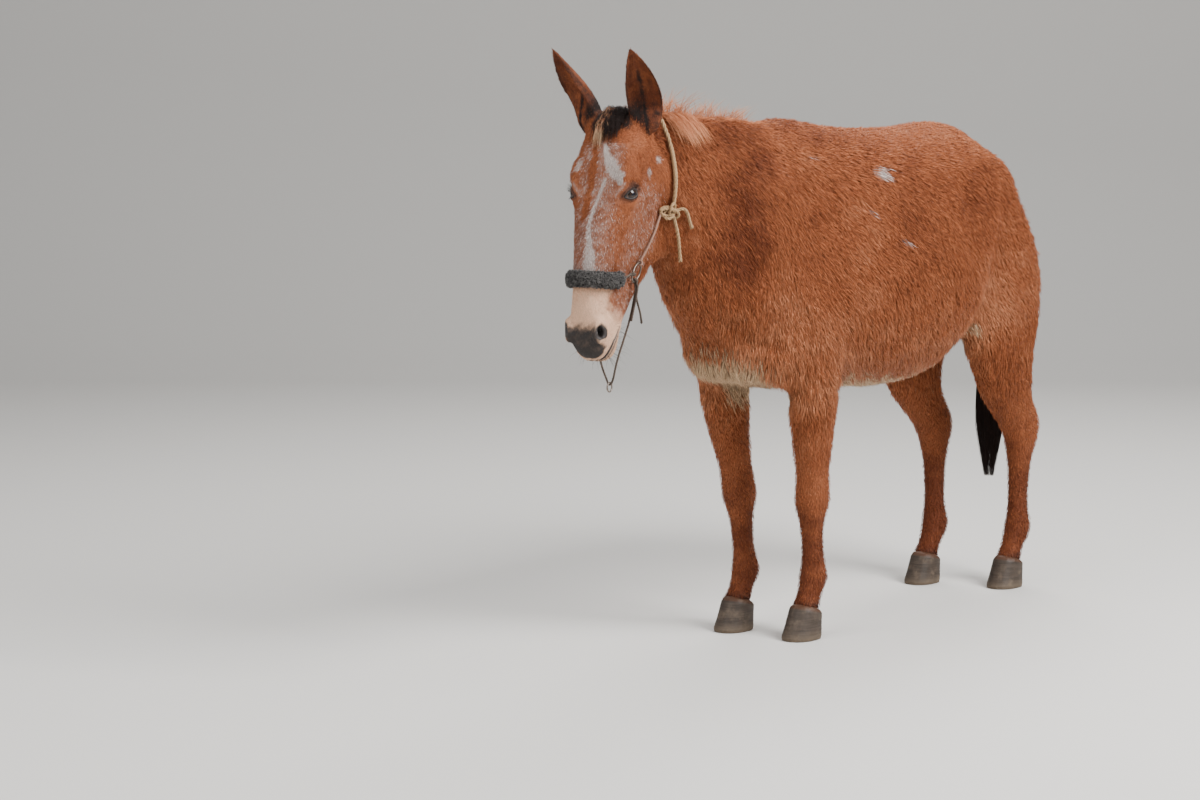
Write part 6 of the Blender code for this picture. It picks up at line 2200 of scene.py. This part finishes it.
# The camera looks from the mule's left front. The focal length is a share of the picture's width.
CAMERA_TURN = math.radians(-52)
CAMERA_REACH = 8.0
CAMERA_HEIGHT = 1.62
FOCAL_SHARE = 2.2475
SENSOR = 36.0
AIM = Vector((-0.2171, 0.0, 0.71))
# How far right of the middle of the view the aimed point falls, as a share of the width
AIM_ACROSS = 0.14


# The floor's line seen from the side: its front end, where it starts to curve up, the curve and the top
FLOOR_FRONT = -14.0
FLOOR_BACK = 7.0
FLOOR_CURVE = 3.0
FLOOR_STEPS = 8
WALL_TOP = 14.0
FLOOR_REACH = 22
# Turn and rise in degrees, distance and size in metres, and power in watts
LIGHTS = (
    ("key", 4, 40, 6.0, 3.0, 780),
    ("fill", -95, 30, 6.5, 4.5, 240),
    ("back", 120, 50, 6.5, 3.0, 260),
    ("top", -40, 85, 5.0, 4.0, 90),
)
LIT_HEIGHT = 0.9


def place_floor():
    """A floor that curves up into a backdrop."""
    bm = bmesh.new()
    rows = []
    away = Vector((-math.sin(CAMERA_TURN), math.cos(CAMERA_TURN), 0))
    across = Vector((away.y, -away.x, 0))
    line = [(FLOOR_FRONT, 0.0), (FLOOR_BACK, 0.0)]
    for i in range(1, FLOOR_STEPS + 1):
        angle = math.pi / 2 * i / FLOOR_STEPS
        line.append((FLOOR_BACK + FLOOR_CURVE * math.sin(angle), FLOOR_CURVE * (1 - math.cos(angle))))
    line.append((FLOOR_BACK + FLOOR_CURVE, WALL_TOP))
    for reach, rise in line:
        rows.append([bm.verts.new(away * reach + across * s * FLOOR_REACH + UP * rise) for s in (-1, 1)])
    for one, two in zip(rows[:-1], rows[1:]):
        bm.faces.new((one[0], one[1], two[1], two[0]))
    floor = object_from(bm, "floor")
    material = bpy.data.materials.new("studio_floor")
    material.use_nodes = True
    shader = material.node_tree.nodes["Principled BSDF"]
    shader.inputs["Base Color"].default_value = (*bpy.context.scene.mule_stage.backdrop, 1)
    shader.inputs["Roughness"].default_value = 0.9
    floor.data.materials.append(material)


def place_lights():
    """The soft studio lights, and the pale world round them."""
    for name, turn, rise, reach, size, power in LIGHTS:
        data = bpy.data.lights.new(name, "AREA")
        data.energy = power * bpy.context.scene.mule_stage.light
        data.size = size
        light = bpy.data.objects.new(name, data)
        bpy.context.scene.collection.objects.link(light)
        a = math.radians(turn)
        e = math.radians(rise)
        way = Vector((math.sin(a) * math.cos(e), -math.cos(a) * math.cos(e), math.sin(e)))
        light.location = UP * LIT_HEIGHT + way * reach
        light.rotation_euler = way.to_track_quat("Z", "Y").to_euler()
    world = bpy.data.worlds.new("studio")
    world.use_nodes = True
    background = world.node_tree.nodes["Background"]
    background.inputs["Color"].default_value = (0.85, 0.87, 0.90, 1)
    background.inputs["Strength"].default_value = 0.45
    bpy.context.scene.world = world


def place_camera():
    """The camera at the mule's left front."""
    away = Vector((math.sin(CAMERA_TURN), -math.cos(CAMERA_TURN), 0.0))
    data = bpy.data.cameras.new("camera")
    data.lens = FOCAL_SHARE * SENSOR
    data.sensor_width = SENSOR
    data.shift_x = -AIM_ACROSS
    data.clip_end = 60
    camera = bpy.data.objects.new("camera", data)
    bpy.context.scene.collection.objects.link(camera)
    camera.location = AIM + away * CAMERA_REACH
    camera.location.z = CAMERA_HEIGHT
    camera.rotation_mode = "QUATERNION"
    camera.rotation_quaternion = (AIM - camera.location).to_track_quat("-Z", "Y")
    bpy.context.scene.camera = camera


class MULE_PT_panel(bpy.types.Panel):
    """Lists the mule's pieces and settings."""

    bl_idname = "MULE_PT_panel"
    bl_label = "Standing Mule"
    bl_space_type = "VIEW_3D"
    bl_region_type = "UI"
    bl_category = "Mule"

    def draw(self, context):
        layout = self.layout
        for kind in OPERATORS:
            layout.operator(kind.bl_idname)
        for name, kind in SETTINGS.items():
            box = layout.box()
            box.label(text=kind.__doc__)
            for setting in kind.__annotations__:
                box.prop(getattr(context.scene, name), setting)


OPERATORS = (MULE_OT_skin, MULE_OT_coat, MULE_OT_eyes, MULE_OT_mane, MULE_OT_tail, MULE_OT_hooves,
             MULE_OT_noseband, MULE_OT_ropes, MULE_OT_rings, MULE_OT_chin, MULE_OT_stage)
SETTINGS = {
    "mule_coat": MuleCoatSettings,
    "mule_hair": MuleHairSettings,
    "mule_eye": MuleEyeSettings,
    "mule_hoof": MuleHoofSettings,
    "mule_halter": MuleHalterSettings,
    "mule_stage": MuleStageSettings,
}


def register():
    for name, kind in SETTINGS.items():
        bpy.utils.register_class(kind)
        setattr(bpy.types.Scene, name, PointerProperty(type=kind))
    for kind in OPERATORS + (MULE_PT_panel,):
        bpy.utils.register_class(kind)


def unregister():
    for kind in (MULE_PT_panel,) + OPERATORS:
        bpy.utils.unregister_class(kind)
    for name, kind in SETTINGS.items():
        delattr(bpy.types.Scene, name)
        bpy.utils.unregister_class(kind)


def main():
    register()
    bpy.ops.mule.skin()
    bpy.ops.mule.coat()
    bpy.ops.mule.eyes()
    bpy.ops.mule.mane()
    bpy.ops.mule.tail()
    bpy.ops.mule.hooves()
    bpy.ops.mule.noseband()
    bpy.ops.mule.ropes()
    bpy.ops.mule.rings()
    bpy.ops.mule.chin()
    bpy.ops.mule.stage()


if __name__ == "__main__":
    main()
